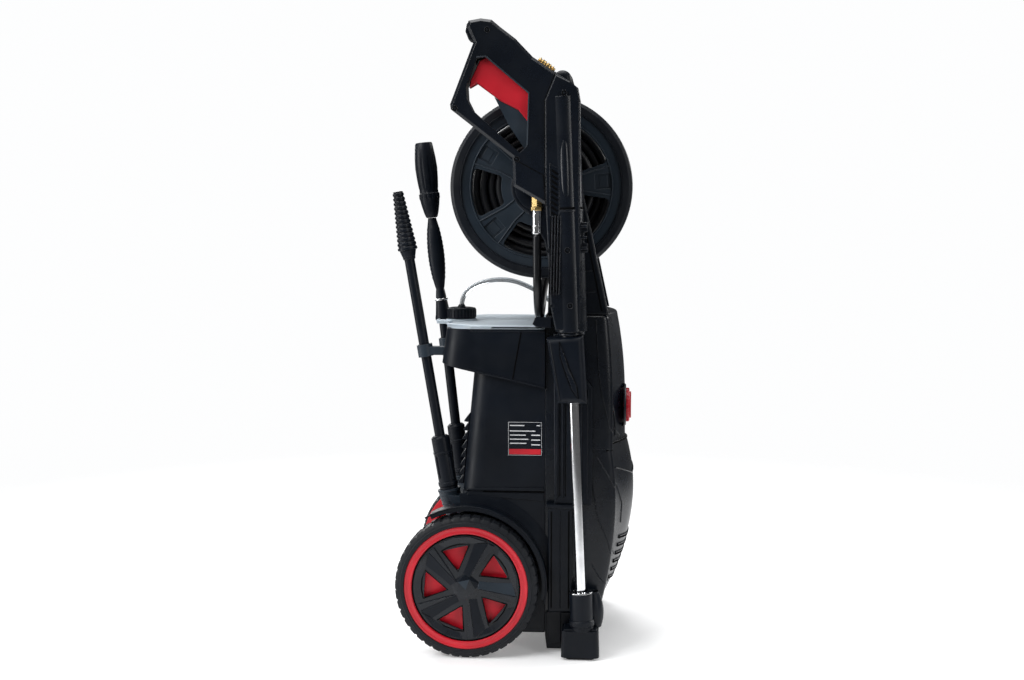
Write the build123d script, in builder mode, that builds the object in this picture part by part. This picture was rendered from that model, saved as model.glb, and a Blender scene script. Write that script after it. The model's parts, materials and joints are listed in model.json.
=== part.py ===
"""Upright electric pressure washer with a hose reel, built as separate pieces.

Frame: millimetres, +Z up, the machine's front faces -Y, the wheels are at the back (+Y).
The spray gun hangs on the left side (-X); left and right are as seen from the front.
The origin is on the floor, under the middle of the machine's box.
"""
from build123d import *
from math import cos, hypot, pi, radians, sin, tan
import os

os.makedirs("parts", exist_ok=True)

# --- fits and walls -------------------------------------------------------------------
WALL = 3.0                 # moulded casing wall
RUN_GAP = 0.05             # radial running clearance of a shaft in its hole
SLIDE_GAP = 0.3            # clearance beside a piece that slides or lifts
FACE_GAP = 0.5             # clearance between pieces that turn face to face

# --- machine body ---------------------------------------------------------------------
BODY_HALF_WIDTH = 120.0
BODY_FRONT_Y = -48.0       # joint between the rear housings and the front cover
SEAM_Z = 235.0             # joint between the lower and the main housing
FLOOR_Z = 27.0             # underside of the lower housing
REAR_LOW_Y = 74.0          # rear face of the main housing at its bottom
WIDEST_Z = 130.0           # height where the lower housing reaches furthest back
WIDEST_REACH = 10.0        # how much further back it is there than at the seam
REAR_HIGH_Y = 57.0         # and at its top
REAR_CORNER = 30.0
CARRIER_FRONT_Z = 386.0    # underside of the tank carrier at its front end
CARRIER_REAR_Z = 421.0     # and at its rear end
CARRIER_TOP_Z = 472.0
CARRIER_REAR_Y = 104.0
CARRIER_HALF_WIDTH = 126.0
DECK_Z = 492.0             # top of the front cover
BAND_Z = 298.0             # crease between the front cover and the front skirt

# --- wheels ---------------------------------------------------------------------------
WHEEL_RADIUS = 103.5
WHEEL_WIDTH = 46.0
WHEEL_OUTER_X = 168.0
AXLE_Y = 63.0
AXLE_DIAMETER = 12.0
TYRE_THICKNESS = 14.0
RIM_RING_WIDTH = 11.0      # the flat red ring between the tyre and the recess
RIM_RADIUS = WHEEL_RADIUS - TYRE_THICKNESS
RIM_RECESS_RADIUS = RIM_RADIUS - RIM_RING_WIDTH
HUB_COVER_GAP = 0.15
FENDER_GAP = 4.5
FENDER_THICKNESS = 6.5
FENDER_INNER = WHEEL_RADIUS + FENDER_GAP
FENDER_OUTER = FENDER_INNER + FENDER_THICKNESS
FENDER_WIDTH = 30.0

# --- hose reel ------------------------------------------------------------------------
REEL_Y = -39.5
REEL_Z = 676.0
REEL_RADIUS = 132.5
FLANGE_THICKNESS = 12.0
SPOKE_COUNT = 5
SPOKE_TILT = 31.0          # angle of the first spoke above the rearward direction
WINDOW_OUTER = 101.0
WINDOW_INNER = 58.0
WINDOW_SPAN = 42.0         # degrees of each window
DRUM_RADIUS = 56.0
HOSE_DIAMETER = 12.0
HOSE_LAYERS = 3
REEL_SHAFT_DIAMETER = 16.0
BUSH_WALL = 4.0
HANDLE_LEG_INSET = 17.0    # a handle leg's line, and its reel arm's middle, in from the body's side
HANDLE_LEG_X = BODY_HALF_WIDTH - HANDLE_LEG_INSET
ARM_THICKNESS = 26.0
ARM_OUTER_X = HANDLE_LEG_X + ARM_THICKNESS / 2
REEL_SIDE_GAP = 5.0        # between a reel flange and its arm
REEL_HALF_WIDTH = ARM_OUTER_X - ARM_THICKNESS - REEL_SIDE_GAP
ARM_BOSS_RADIUS = 41.0
CRANK_RADIUS = 88.0
CRANK_KNOB_DIAMETER = 28.0
CRANK_KNOB_LENGTH = 44.0

# --- push handle ----------------------------------------------------------------------
HANDLE_Y = -71.0
HANDLE_LEG_DIAMETER = 18.0
HANDLE_BAR_Z = 826.0
HANDLE_GRIP_DIAMETER = 27.0
HANDLE_LEG_BOTTOM = 330.0

# --- spray gun and its lance ----------------------------------------------------------
GUN_X = -150.0
GUN_HALF_THICKNESS = 18.0
BARREL_HALF_THICKNESS = 20.0
GUN_WALL = 3.2
LANCE_DIAMETER = 14.0
LANCE_LEAN = 0.0391        # forward run of the lance for each millimetre down
LANCE_TOP_Y = -73.5        # the lance's line at the height of LANCE_TOP_Z
LANCE_TOP_Z = 799.0
BARREL_NOSE_Z = 471.0
BARREL_NOSE_DIAMETER = 32.0
TRIGGER_WIDTH = 20.0
TRIGGER_PIVOT = (-27.0, 716.0)
TRIGGER_PIN_DIAMETER = 5.0
INLET_Y = -37.5
SOCKET_DIAMETER = 33.0
SOCKET_TOP_Z = 96.0
FOOT_HEIGHT = 42.0
FOOT_OUTER_X = 165.0

# --- spare lances on the back ---------------------------------------------------------
SPARE_DIAMETER = 15.0
SPARE_FOOT_Z = 232.0
TURBO_INSET = 35.0         # the outer spare lance's line, in from the body's side
TURBO_X = TURBO_INSET - BODY_HALF_WIDTH
TURBO_FOOT_Y = 96.0
TURBO_LEAN = 0.168
TURBO_HEAD_Z = 584.0
TURBO_HEAD_LENGTH = 86.0
VARIO_X = 30.0
VARIO_FOOT_Y = 90.0
VARIO_LEAN = 0.1114
VARIO_HEAD_Z = 631.0
CLIP_Z = 446.0

# --- detergent tank -------------------------------------------------------------------
TANK_TOP_Z = 476.0
CAP_X = -5.0
CAP_Y = 85.0
CAP_DIAMETER = 43.0
CAP_HEIGHT = 16.0
NECK_HEIGHT = 3.0
FEED_DIAMETER = 7.0
NIPPLE_RADIUS = 9.0

# --- switch and connections -----------------------------------------------------------
KNOB_Z = 348.0
KNOB_DIAMETER = 50.0
KNOB_SHAFT_DIAMETER = 8.0
KNOB_PROUD = 6.0
INLET_THREAD_DIAMETER = 26.4
INLET_X = 74.0
INLET_Z = 158.0


def save(piece, name):
    piece.part.label = name
    export_step(piece.part, f"parts/{name}.step")


def side_plane(x):
    """Sketch plane across the machine at x: its axes are Y (rearward) and Z (up)."""
    return Plane.YZ.offset(x)


def carrier_underside(y):
    slope = (CARRIER_REAR_Z - CARRIER_FRONT_Z) / (CARRIER_REAR_Y - BODY_FRONT_Y)
    return CARRIER_FRONT_Z + slope * (y - BODY_FRONT_Y)


def lance_y(z):
    """Y of the gun lance's line at height z."""
    return LANCE_TOP_Y - (LANCE_TOP_Z - z) * LANCE_LEAN


def lance_plane(z):
    """Plane across the gun lance at height z, its normal pointing up along the lance."""
    return Plane(origin=(GUN_X, lance_y(z), z), x_dir=(1, 0, 0), z_dir=(0, LANCE_LEAN, 1))


def spare_plane(x, foot_y, lean, z):
    """Plane across a spare lance at height z, its normal pointing up along the lance."""
    return Plane(origin=(x, foot_y + (z - SPARE_FOOT_Z) * lean, z), x_dir=(1, 0, 0), z_dir=(0, lean, 1))


# ======================================================================================
# Housings
# ======================================================================================
AXLE_Z = WHEEL_RADIUS
AXLE_LINE = Axis((0, AXLE_Y, AXLE_Z), (1, 0, 0))

with BuildPart() as lower_housing:
    with BuildSketch(side_plane(-BODY_HALF_WIDTH)):
        with BuildLine():
            Polyline(
                (BODY_FRONT_Y, SEAM_Z),
                (REAR_LOW_Y - 2, SEAM_Z),
                (REAR_LOW_Y - 2 + WIDEST_REACH, WIDEST_Z),
                (REAR_LOW_Y - 4, 55),
                (45, FLOOR_Z),
                (BODY_FRONT_Y, FLOOR_Z),
                close=True,
            )
        make_face()
    extrude(amount=2 * BODY_HALF_WIDTH)
    fillet(lower_housing.faces().sort_by(Axis.Y)[-2:].edges().filter_by(
        lambda e: abs(e.tangent_at(0.5).X) < 0.1 and e.center().Z < SEAM_Z - 10), radius=8)
    offset(amount=-WALL, openings=lower_housing.faces().sort_by(Axis.Z)[-1])
    with BuildSketch(side_plane(-BODY_HALF_WIDTH)):
        with Locations((AXLE_Y, AXLE_Z)):
            Circle(AXLE_DIAMETER / 2 + RUN_GAP)
    extrude(amount=2 * BODY_HALF_WIDTH, mode=Mode.SUBTRACT)
save(lower_housing, "lower_housing")

with BuildPart() as main_housing:
    with BuildSketch(side_plane(-BODY_HALF_WIDTH)):
        with BuildLine():
            Polyline(
                (BODY_FRONT_Y, SEAM_Z),
                (REAR_LOW_Y, SEAM_Z),
                (REAR_HIGH_Y, carrier_underside(REAR_HIGH_Y)),
                (BODY_FRONT_Y, CARRIER_FRONT_Z),
                close=True,
            )
        make_face()
    extrude(amount=2 * BODY_HALF_WIDTH)
    rear_face = main_housing.faces().sort_by(Axis.Y)[-1]
    fillet(rear_face.edges().filter_by(lambda e: abs(e.tangent_at(0.5).X) < 0.1), radius=REAR_CORNER)
    offset(amount=-WALL, openings=main_housing.faces().sort_by(Axis.Z)[0])
save(main_housing, "main_housing")

LOUVRE_COUNT = 8
LOUVRE_PITCH = 13.0
LOUVRE_DEPTH = 7.0
LOUVRE_FIRST_Z = 242.0
LOUVRE_INNER_X = 44.0
LOUVRE_OUTER_X = BODY_HALF_WIDTH - 22.0


def rear_face_y(z):
    """Y of the main housing's leaning rear face at height z."""
    rise = carrier_underside(REAR_HIGH_Y) - SEAM_Z
    return REAR_LOW_Y + (REAR_HIGH_Y - REAR_LOW_Y) * (z - SEAM_Z) / rise


with BuildPart() as rear_louvres:
    for x_low in (-LOUVRE_OUTER_X, LOUVRE_INNER_X):
        for step in range(LOUVRE_COUNT):
            z = LOUVRE_FIRST_Z + step * LOUVRE_PITCH
            with BuildSketch(side_plane(x_low)):
                with BuildLine():
                    Polyline(
                        (rear_face_y(z), z),
                        (rear_face_y(z) + LOUVRE_DEPTH, z + 1),
                        (rear_face_y(z) + LOUVRE_DEPTH, z + 3),
                        (rear_face_y(z + LOUVRE_PITCH), z + LOUVRE_PITCH),
                        close=True,
                    )
                make_face()
            extrude(amount=LOUVRE_OUTER_X - LOUVRE_INNER_X)
save(rear_louvres, "rear_louvres")

TRAY_REAR_Y = -51.0
TRAY_FRONT_Y = -126.0
TRAY_TOP_Z = 58.0
TRAY_HALF_WIDTH = 122.0
PAD_HEIGHT = 4.0

with BuildPart() as base_tray:
    with BuildSketch(side_plane(-TRAY_HALF_WIDTH)):
        with BuildLine():
            Polyline(
                (TRAY_REAR_Y, PAD_HEIGHT),
                (TRAY_FRONT_Y + 14, PAD_HEIGHT),
                (TRAY_FRONT_Y, 20),
                (TRAY_FRONT_Y, TRAY_TOP_Z),
                (BODY_FRONT_Y - FACE_GAP, TRAY_TOP_Z),
                (BODY_FRONT_Y - FACE_GAP, FLOOR_Z - 3),
                close=True,
            )
        make_face()
    extrude(amount=2 * TRAY_HALF_WIDTH)
    offset(amount=-WALL, openings=base_tray.faces().sort_by(Axis.Z)[-1])
    for side in (-1, 1):
        block_x = side * (TRAY_HALF_WIDTH + FOOT_OUTER_X) / 2
        with BuildSketch(Plane.XY.offset(PAD_HEIGHT)):
            with Locations((block_x, -100.5)):
                RectangleRounded(FOOT_OUTER_X - TRAY_HALF_WIDTH, 55, 7)
        extrude(amount=FOOT_HEIGHT - PAD_HEIGHT, taper=2)
        with BuildSketch(Plane.XY.offset(PAD_HEIGHT)):
            with Locations((side * (TRAY_HALF_WIDTH + 5), -98)):
                Rectangle(16, 44)
        extrude(amount=FOOT_HEIGHT - PAD_HEIGHT - 4)
save(base_tray, "base_tray")

with BuildPart() as rubber_feet:
    with BuildSketch(Plane.XY):
        with Locations((-86, -88), (86, -88), (-144, -100.5), (144, -100.5)):
            RectangleRounded(30, 40, 6)
    extrude(amount=PAD_HEIGHT)
save(rubber_feet, "rubber_feet")


def cover_face(front_y, half_width, side_y, back_y):
    """One plan section of the front mouldings, domed towards -Y."""
    dome = side_y - front_y
    with BuildSketch() as section:
        with BuildLine():
            Polyline((-half_width, side_y), (-half_width, back_y), (half_width, back_y), (half_width, side_y))
            Spline(
                (half_width, side_y),
                (0.84 * half_width, side_y - 0.55 * dome),
                (0, front_y),
                (-0.84 * half_width, side_y - 0.55 * dome),
                (-half_width, side_y),
                tangents=((0, -1), (0, 1)),
            )
        make_face()
    return section.sketch


COVER_SIDE_Y = -118.0
SKIRT_SIDE_Y = -112.0
COVER_PROFILE = ((BAND_Z, -162.5), (345, -162.3), (395, -161), (445, -156.5), (DECK_Z, -149))
SKIRT_PROFILE = ((TRAY_TOP_Z, -134), (105, -154), (160, -169.5), (220, -176), (262, -172.5), (BAND_Z, -164.5))

with BuildPart() as front_cover:
    for z, front_y in COVER_PROFILE:
        with BuildSketch(Plane.XY.offset(z)):
            add(cover_face(front_y, BODY_HALF_WIDTH, COVER_SIDE_Y, BODY_FRONT_Y - FACE_GAP))
    loft()
    fillet(front_cover.faces().sort_by(Axis.Z)[-1].edges().sort_by(Axis.Y)[:1], radius=5)
    for z, front_y in COVER_PROFILE:
        with BuildSketch(Plane.XY.offset(min(z, DECK_Z - WALL))):
            add(cover_face(front_y + WALL, BODY_HALF_WIDTH - WALL, COVER_SIDE_Y, BODY_FRONT_Y + 1))
    loft(mode=Mode.SUBTRACT)
    with BuildSketch(Plane.XY.offset(DECK_Z - WALL)):
        with Locations((-HANDLE_LEG_X, HANDLE_Y), (HANDLE_LEG_X, HANDLE_Y)):
            Circle(HANDLE_LEG_DIAMETER / 2 + SLIDE_GAP)
    extrude(amount=WALL, mode=Mode.SUBTRACT)
    with BuildSketch(Plane.XZ.offset(150)):
        with Locations((0, KNOB_Z)):
            Circle(KNOB_SHAFT_DIAMETER / 2 + RUN_GAP)
    extrude(amount=20, mode=Mode.SUBTRACT)
save(front_cover, "front_cover")

with BuildPart() as front_skirt:
    for z, front_y in SKIRT_PROFILE:
        with BuildSketch(Plane.XY.offset(z)):
            add(cover_face(front_y, BODY_HALF_WIDTH, SKIRT_SIDE_Y, BODY_FRONT_Y - FACE_GAP))
    loft()
    for z, front_y in SKIRT_PROFILE:
        with BuildSketch(Plane.XY.offset(z)):
            add(cover_face(front_y + WALL, BODY_HALF_WIDTH - WALL, SKIRT_SIDE_Y, BODY_FRONT_Y + 1))
    loft(mode=Mode.SUBTRACT)
save(front_skirt, "front_skirt")

COLUMN_SPLIT_Z = 216.0
COLUMN_PROUD = 9.0
LOWER_COLUMN_PROUD = 14.0
COLUMN_TOP_Z = 466.0

with BuildPart() as side_columns:
    for side in (-1, 1):
        face = side_plane(side * BODY_HALF_WIDTH)
        with BuildSketch(face):
            with BuildLine():
                Polyline((-62, COLUMN_SPLIT_Z + 3), (-116, COLUMN_SPLIT_Z + 3), (-116, 388), (-106, 402),
                         (-98, COLUMN_TOP_Z), (-60, COLUMN_TOP_Z), close=True)
            make_face()
        extrude(amount=side * COLUMN_PROUD)
        with BuildSketch(face):
            with BuildLine():
                Polyline((-53, 62), (-88, 62), (-88, COLUMN_SPLIT_Z), (-53, COLUMN_SPLIT_Z), close=True)
            make_face()
        extrude(amount=side * LOWER_COLUMN_PROUD)
    outer_rims = side_columns.edges().filter_by(
        lambda e: abs(e.center().X) > BODY_HALF_WIDTH + 5 and abs(e.tangent_at(0.5).X) < 0.1)
    chamfer(outer_rims, length=1.6)
    for side in (-1, 1):
        groove_face = side_plane(side * (BODY_HALF_WIDTH + COLUMN_PROUD))
        with BuildSketch(groove_face):
            with Locations((-70, 306), (-78, 306), (-97, 306)):
                Rectangle(2.4, 150)
        extrude(amount=-side * 3, mode=Mode.SUBTRACT)
save(side_columns, "side_columns")

with BuildPart() as wheel_arches:
    for side in (-1, 1):
        with BuildSketch(side_plane(side * BODY_HALF_WIDTH)):
            with BuildLine():
                outer = CenterArc((AXLE_Y, AXLE_Z), FENDER_OUTER, 62, 128)
                inner = CenterArc((AXLE_Y, AXLE_Z), FENDER_INNER, 62, 128)
                Line(outer @ 0, inner @ 0)
                Line(outer @ 1, inner @ 1)
            make_face()
        extrude(amount=side * FENDER_WIDTH)
save(wheel_arches, "wheel_arches")

NOTCH_HALF = 17.0
NOTCH_Y = VARIO_FOOT_Y + 4


def carrier_rear_y(z):
    """Y of the carrier's leaning rear face at height z."""
    return CARRIER_REAR_Y - 7 * (z - CARRIER_REAR_Z) / (CARRIER_TOP_Z - CARRIER_REAR_Z)


with BuildPart() as tank_carrier:
    with BuildSketch(side_plane(-CARRIER_HALF_WIDTH)):
        with BuildLine():
            Polyline(
                (BODY_FRONT_Y, CARRIER_TOP_Z),
                (CARRIER_REAR_Y - 7, CARRIER_TOP_Z),
                (CARRIER_REAR_Y, CARRIER_REAR_Z),
                (BODY_FRONT_Y, CARRIER_FRONT_Z),
                close=True,
            )
        make_face()
    extrude(amount=2 * CARRIER_HALF_WIDTH)
    carrier_rear = tank_carrier.faces().sort_by(Axis.Y)[-1]
    fillet(carrier_rear.edges().filter_by(lambda e: abs(e.tangent_at(0.5).X) < 0.1), radius=34)
    with BuildSketch(Plane.XY.offset(CARRIER_FRONT_Z)):
        with Locations((VARIO_X, NOTCH_Y + 50)):
            Rectangle(2 * NOTCH_HALF, 100)
    extrude(amount=CARRIER_TOP_Z - CARRIER_FRONT_Z, mode=Mode.SUBTRACT)
    offset(amount=-WALL, openings=tank_carrier.faces().sort_by(Axis.Z)[-1])
save(tank_carrier, "tank_carrier")

TANK_GAP = 2.0
TANK_LIP_Y = 121.0
TANK_LIP_HALF = 30.0
TANK_RIM = 4.0
tank_inset = WALL + TANK_GAP
with BuildPart() as detergent_tank:
    with BuildSketch(side_plane(-CARRIER_HALF_WIDTH + tank_inset)):
        with BuildLine():
            Polyline(
                (BODY_FRONT_Y + tank_inset, TANK_TOP_Z - TANK_RIM),
                (CARRIER_REAR_Y - 7 - tank_inset, TANK_TOP_Z - TANK_RIM),
                (CARRIER_REAR_Y - tank_inset - 1, CARRIER_REAR_Z + tank_inset + 2),
                (BODY_FRONT_Y + tank_inset, CARRIER_FRONT_Z + tank_inset),
                close=True,
            )
        make_face()
    extrude(amount=2 * (CARRIER_HALF_WIDTH - tank_inset))
    tank_rear = detergent_tank.faces().sort_by(Axis.Y)[-1]
    fillet(tank_rear.edges().filter_by(lambda e: abs(e.tangent_at(0.5).X) < 0.1), radius=30)
    with BuildSketch(Plane.XY.offset(TANK_TOP_Z - TANK_RIM)):
        with BuildLine():
            Polyline(
                (-CARRIER_HALF_WIDTH + 1, BODY_FRONT_Y + 1),
                (-CARRIER_HALF_WIDTH + 1, CARRIER_REAR_Y - 44),
                (-CARRIER_HALF_WIDTH + 36, CARRIER_REAR_Y - 7),
                (CAP_X - TANK_LIP_HALF, CARRIER_REAR_Y - 7),
                (CAP_X - TANK_LIP_HALF + 12, TANK_LIP_Y),
                (VARIO_X - NOTCH_HALF - 6, TANK_LIP_Y),
                (VARIO_X - NOTCH_HALF - 3, CARRIER_REAR_Y - 7),
                (CARRIER_HALF_WIDTH - 36, CARRIER_REAR_Y - 7),
                (CARRIER_HALF_WIDTH - 1, CARRIER_REAR_Y - 44),
                (CARRIER_HALF_WIDTH - 1, BODY_FRONT_Y + 1),
                close=True,
            )
        make_face()
        with Locations((VARIO_X, NOTCH_Y + 50)):
            Rectangle(2 * NOTCH_HALF + 6, 106, mode=Mode.SUBTRACT)
        with Locations((VARIO_X, CARRIER_REAR_Y)):
            Rectangle(2 * NOTCH_HALF + 6, 40, mode=Mode.SUBTRACT)
        for side in (-1, 1):
            with Locations((side * HANDLE_LEG_X, -36)):
                Rectangle(34, 12, mode=Mode.SUBTRACT)
    extrude(amount=TANK_RIM)
    with BuildSketch(Plane.XY.offset(CARRIER_FRONT_Z)):
        with Locations((VARIO_X, NOTCH_Y + 50 - tank_inset)):
            Rectangle(2 * (NOTCH_HALF + tank_inset), 100)
    extrude(amount=TANK_TOP_Z - TANK_RIM - CARRIER_FRONT_Z, mode=Mode.SUBTRACT)
    with BuildSketch(Plane.XY.offset(TANK_TOP_Z)):
        with Locations((CAP_X, CAP_Y)):
            Circle(CAP_DIAMETER / 2 - 4)
    extrude(amount=NECK_HEIGHT + CAP_HEIGHT - 4)
save(detergent_tank, "detergent_tank")

with BuildPart() as tank_cap:
    with BuildSketch(Plane.XY.offset(TANK_TOP_Z + NECK_HEIGHT)):
        with Locations((CAP_X, CAP_Y)):
            Circle(CAP_DIAMETER / 2)
    extrude(amount=CAP_HEIGHT)
    fillet(tank_cap.edges().sort_by(Axis.Z)[-1:], radius=1.5)
    with BuildSketch(Plane.XY.offset(TANK_TOP_Z + NECK_HEIGHT)):
        with Locations((CAP_X, CAP_Y)):
            Circle(CAP_DIAMETER / 2 - 4 + RUN_GAP)
    extrude(amount=CAP_HEIGHT - 3, mode=Mode.SUBTRACT)
save(tank_cap, "tank_cap")

HOLSTER_DEPTH = 43.5
with BuildPart() as holster_cup:
    with BuildSketch(side_plane(-BODY_HALF_WIDTH - COLUMN_PROUD)):
        with BuildLine():
            Polyline((-52, 462), (-103, 467), (-109, 371), (-68, 371), close=True)
        make_face()
    extrude(amount=-HOLSTER_DEPTH)
    fillet(holster_cup.faces().sort_by(Axis.X)[0].edges(), radius=9)
    with BuildSketch(lance_plane(BARREL_NOSE_Z)):
        Circle(BARREL_NOSE_DIAMETER / 2 + SLIDE_GAP + 0.4)
    extrude(amount=-22, mode=Mode.SUBTRACT)
    with BuildSketch(lance_plane(BARREL_NOSE_Z)):
        Circle(LANCE_DIAMETER / 2 + 1.5)
    extrude(amount=-130, mode=Mode.SUBTRACT)
save(holster_cup, "holster_cup")

with BuildPart() as lance_socket:
    with BuildSketch(lance_plane(SOCKET_TOP_Z)):
        Circle(SOCKET_DIAMETER / 2)
    extrude(amount=-(SOCKET_TOP_Z - FOOT_HEIGHT + 6))
    chamfer(lance_socket.edges().sort_by(Axis.Z)[-1:], length=1.5)
    split(bisect_by=Plane.XY.offset(FOOT_HEIGHT), keep=Keep.TOP)
    with BuildSketch(lance_plane(SOCKET_TOP_Z)):
        Circle(LANCE_DIAMETER / 2 + 4)
    extrude(amount=-(SOCKET_TOP_Z - FOOT_HEIGHT - 12), mode=Mode.SUBTRACT)
save(lance_socket, "lance_socket")

CLIP_LENGTH = 18.0
CLIP_WALL = 4.0
spare_lances = (
    (TURBO_X, TURBO_FOOT_Y, TURBO_LEAN),
    (VARIO_X, VARIO_FOOT_Y, VARIO_LEAN),
)
clip_reach = SPARE_DIAMETER / 2 + SLIDE_GAP
with BuildPart() as lance_clip:
    for x, foot_y, lean in spare_lances:
        with BuildSketch(spare_plane(x, foot_y, lean, CLIP_Z)):
            Circle(clip_reach + CLIP_WALL)
        extrude(amount=-CLIP_LENGTH)
    clip_low = CLIP_Z - CLIP_LENGTH + 3
    turbo_y = TURBO_FOOT_Y + (CLIP_Z - SPARE_FOOT_Z) * TURBO_LEAN
    with BuildSketch(side_plane(TURBO_X - 9)):
        with BuildLine():
            Polyline((carrier_rear_y(clip_low), clip_low), (turbo_y, clip_low), (turbo_y, CLIP_Z - 3),
                     (carrier_rear_y(CLIP_Z - 3), CLIP_Z - 3), close=True)
        make_face()
    extrude(amount=18)
    vario_y = VARIO_FOOT_Y + (CLIP_Z - SPARE_FOOT_Z) * VARIO_LEAN
    with BuildSketch(Plane.XY.offset(clip_low)):
        with Locations((VARIO_X, (NOTCH_Y + vario_y) / 2)):
            Rectangle(2 * NOTCH_HALF, vario_y - NOTCH_Y)
    extrude(amount=CLIP_LENGTH - 6)
    for x, foot_y, lean in spare_lances:
        with BuildSketch(spare_plane(x, foot_y, lean, CLIP_Z + 20)):
            Circle(clip_reach)
            with Locations((0, 20)):
                Rectangle(11, 40)
        extrude(amount=-CLIP_LENGTH - 40, mode=Mode.SUBTRACT)
save(lance_clip, "lance_clip")

CUP_RADIUS = 17.0
CUP_LENGTH = 38.0
BAYONET_DIAMETER = 27.0
BAYONET_LENGTH = 80.0
SHELF_HEIGHT = 26.0


def lower_rear_y(z):
    """Y of the lower housing's rear face at height z, above its widest point."""
    return REAR_LOW_Y - 2 + WIDEST_REACH * (SEAM_Z - z) / (SEAM_Z - WIDEST_Z)


with BuildPart() as lance_cups:
    low_z = SPARE_FOOT_Z - 8 - SHELF_HEIGHT
    high_z = SPARE_FOOT_Z - 8
    with BuildSketch(side_plane(TURBO_X - CUP_RADIUS)):
        with BuildLine():
            Polyline((lower_rear_y(low_z), low_z), (lower_rear_y(low_z) + 6, low_z),
                     (TURBO_FOOT_Y, high_z), (lower_rear_y(high_z), high_z), close=True)
        make_face()
    extrude(amount=VARIO_X - TURBO_X + 2 * CUP_RADIUS)
    for x, foot_y, lean in spare_lances:
        with BuildSketch(spare_plane(x, foot_y, lean, SPARE_FOOT_Z)):
            Circle(CUP_RADIUS)
        with BuildSketch(spare_plane(x, foot_y, lean, SPARE_FOOT_Z - CUP_LENGTH)):
            Circle(CUP_RADIUS - 6)
        loft()
    with BuildSketch(Plane.XY.offset(low_z - 30)):
        with Locations((0, lower_rear_y(low_z - 30) - 50)):
            Rectangle(400, 100)
    with BuildSketch(Plane.XY.offset(SPARE_FOOT_Z + 10)):
        with Locations((0, lower_rear_y(SPARE_FOOT_Z + 10) - 50)):
            Rectangle(400, 100)
    loft(mode=Mode.SUBTRACT)
    for x, foot_y, lean in spare_lances:
        with BuildSketch(spare_plane(x, foot_y, lean, SPARE_FOOT_Z + 1)):
            Circle(BAYONET_DIAMETER / 2 + SLIDE_GAP)
        extrude(amount=-15, mode=Mode.SUBTRACT)
save(lance_cups, "lance_cups")

MOTOR_RADIUS = 42.0
MOTOR_LENGTH = 170.0
with BuildPart() as motor:
    with BuildSketch(Plane.XY.offset(FLOOR_Z + WALL)):
        Circle(MOTOR_RADIUS)
    extrude(amount=MOTOR_LENGTH)
    with BuildSketch(Plane.XY.offset(FLOOR_Z + WALL + MOTOR_LENGTH)):
        Circle(MOTOR_RADIUS - 14)
    extrude(amount=12)
save(motor, "motor")

PUMP_BOTTOM_Z = FLOOR_Z + WALL + MOTOR_LENGTH + 12
PUMP_HEIGHT = 70.0
with BuildPart() as pump:
    with BuildSketch(Plane.XY.offset(PUMP_BOTTOM_Z)):
        RectangleRounded(92, 84, 12)
    extrude(amount=PUMP_HEIGHT)
    with BuildSketch(Plane.XY.offset(PUMP_BOTTOM_Z + PUMP_HEIGHT)):
        with Locations((-28, 0), (0, 0), (28, 0)):
            Circle(12)
    extrude(amount=34)
save(pump, "pump")


def rear_plane(x, z):
    """Plane on the lower housing's leaning rear face, its normal pointing out of it."""
    return Plane(origin=(x, lower_rear_y(z), z), x_dir=(-1, 0, 0), z_dir=(0, SEAM_Z - WIDEST_Z, WIDEST_REACH))


INLET_FLANGE = 4.0
INLET_LENGTH = 18.0
inlet_base = rear_plane(INLET_X, INLET_Z)
with BuildPart() as water_inlet:
    with BuildSketch(inlet_base):
        Circle(18)
    extrude(amount=INLET_FLANGE)
    with BuildSketch(inlet_base.offset(INLET_FLANGE)):
        Circle(INLET_THREAD_DIAMETER / 2)
    extrude(amount=INLET_LENGTH)
    with BuildSketch(inlet_base.offset(INLET_FLANGE + INLET_LENGTH)):
        Circle(INLET_THREAD_DIAMETER / 2 - 4)
    extrude(amount=-INLET_LENGTH, mode=Mode.SUBTRACT)
save(water_inlet, "water_inlet")

GLAND_X = -10.0
GLAND_Z = 150.0
gland_base = rear_plane(GLAND_X, GLAND_Z)
with BuildPart() as cable_gland:
    with BuildSketch(gland_base):
        RegularPolygon(11, 6)
    extrude(amount=7)
    with BuildSketch(gland_base.offset(7)):
        Circle(8)
    extrude(amount=10, taper=12)
    with BuildSketch(gland_base.offset(17)):
        Circle(4.2)
    extrude(amount=-14, mode=Mode.SUBTRACT)
save(cable_gland, "cable_gland")

with BuildPart() as wheel_axle:
    with BuildSketch(side_plane(-WHEEL_OUTER_X + 12)):
        with Locations((AXLE_Y, AXLE_Z)):
            Circle(AXLE_DIAMETER / 2)
    extrude(amount=2 * (WHEEL_OUTER_X - 12))
    chamfer(wheel_axle.edges(), length=1)
save(wheel_axle, "wheel_axle")

CAP_OFFSET = 10.5
CAP_THICKNESS = 3.0
with BuildPart() as axle_caps:
    for side in (-1, 1):
        with BuildSketch(side_plane(side * (WHEEL_OUTER_X - CAP_OFFSET))):
            with Locations((AXLE_Y, AXLE_Z)):
                Circle(9)
        extrude(amount=-side * CAP_THICKNESS)
        with BuildSketch(side_plane(side * (WHEEL_OUTER_X - 12))):
            with Locations((AXLE_Y, AXLE_Z)):
                Circle(AXLE_DIAMETER / 2)
        extrude(amount=-side * CAP_THICKNESS, mode=Mode.SUBTRACT)
save(axle_caps, "axle_caps")

# ======================================================================================
# Wheels
# ======================================================================================
DISC_DEPTH = 14.0          # the wheel disc's outer face, measured in from the wheel's face
HUB_RADIUS = 17.0
WINDOW_MARGIN = 15.5        # from a window's outer corners to the recess's wall
WINDOW_CORNER_RADIUS = RIM_RECESS_RADIUS - WINDOW_MARGIN
WINDOW_TIP_RADIUS = 26.5
FIRST_WINDOW = 57.0


def wheel_side_name(side):
    return "left" if side < 0 else "right"


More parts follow.
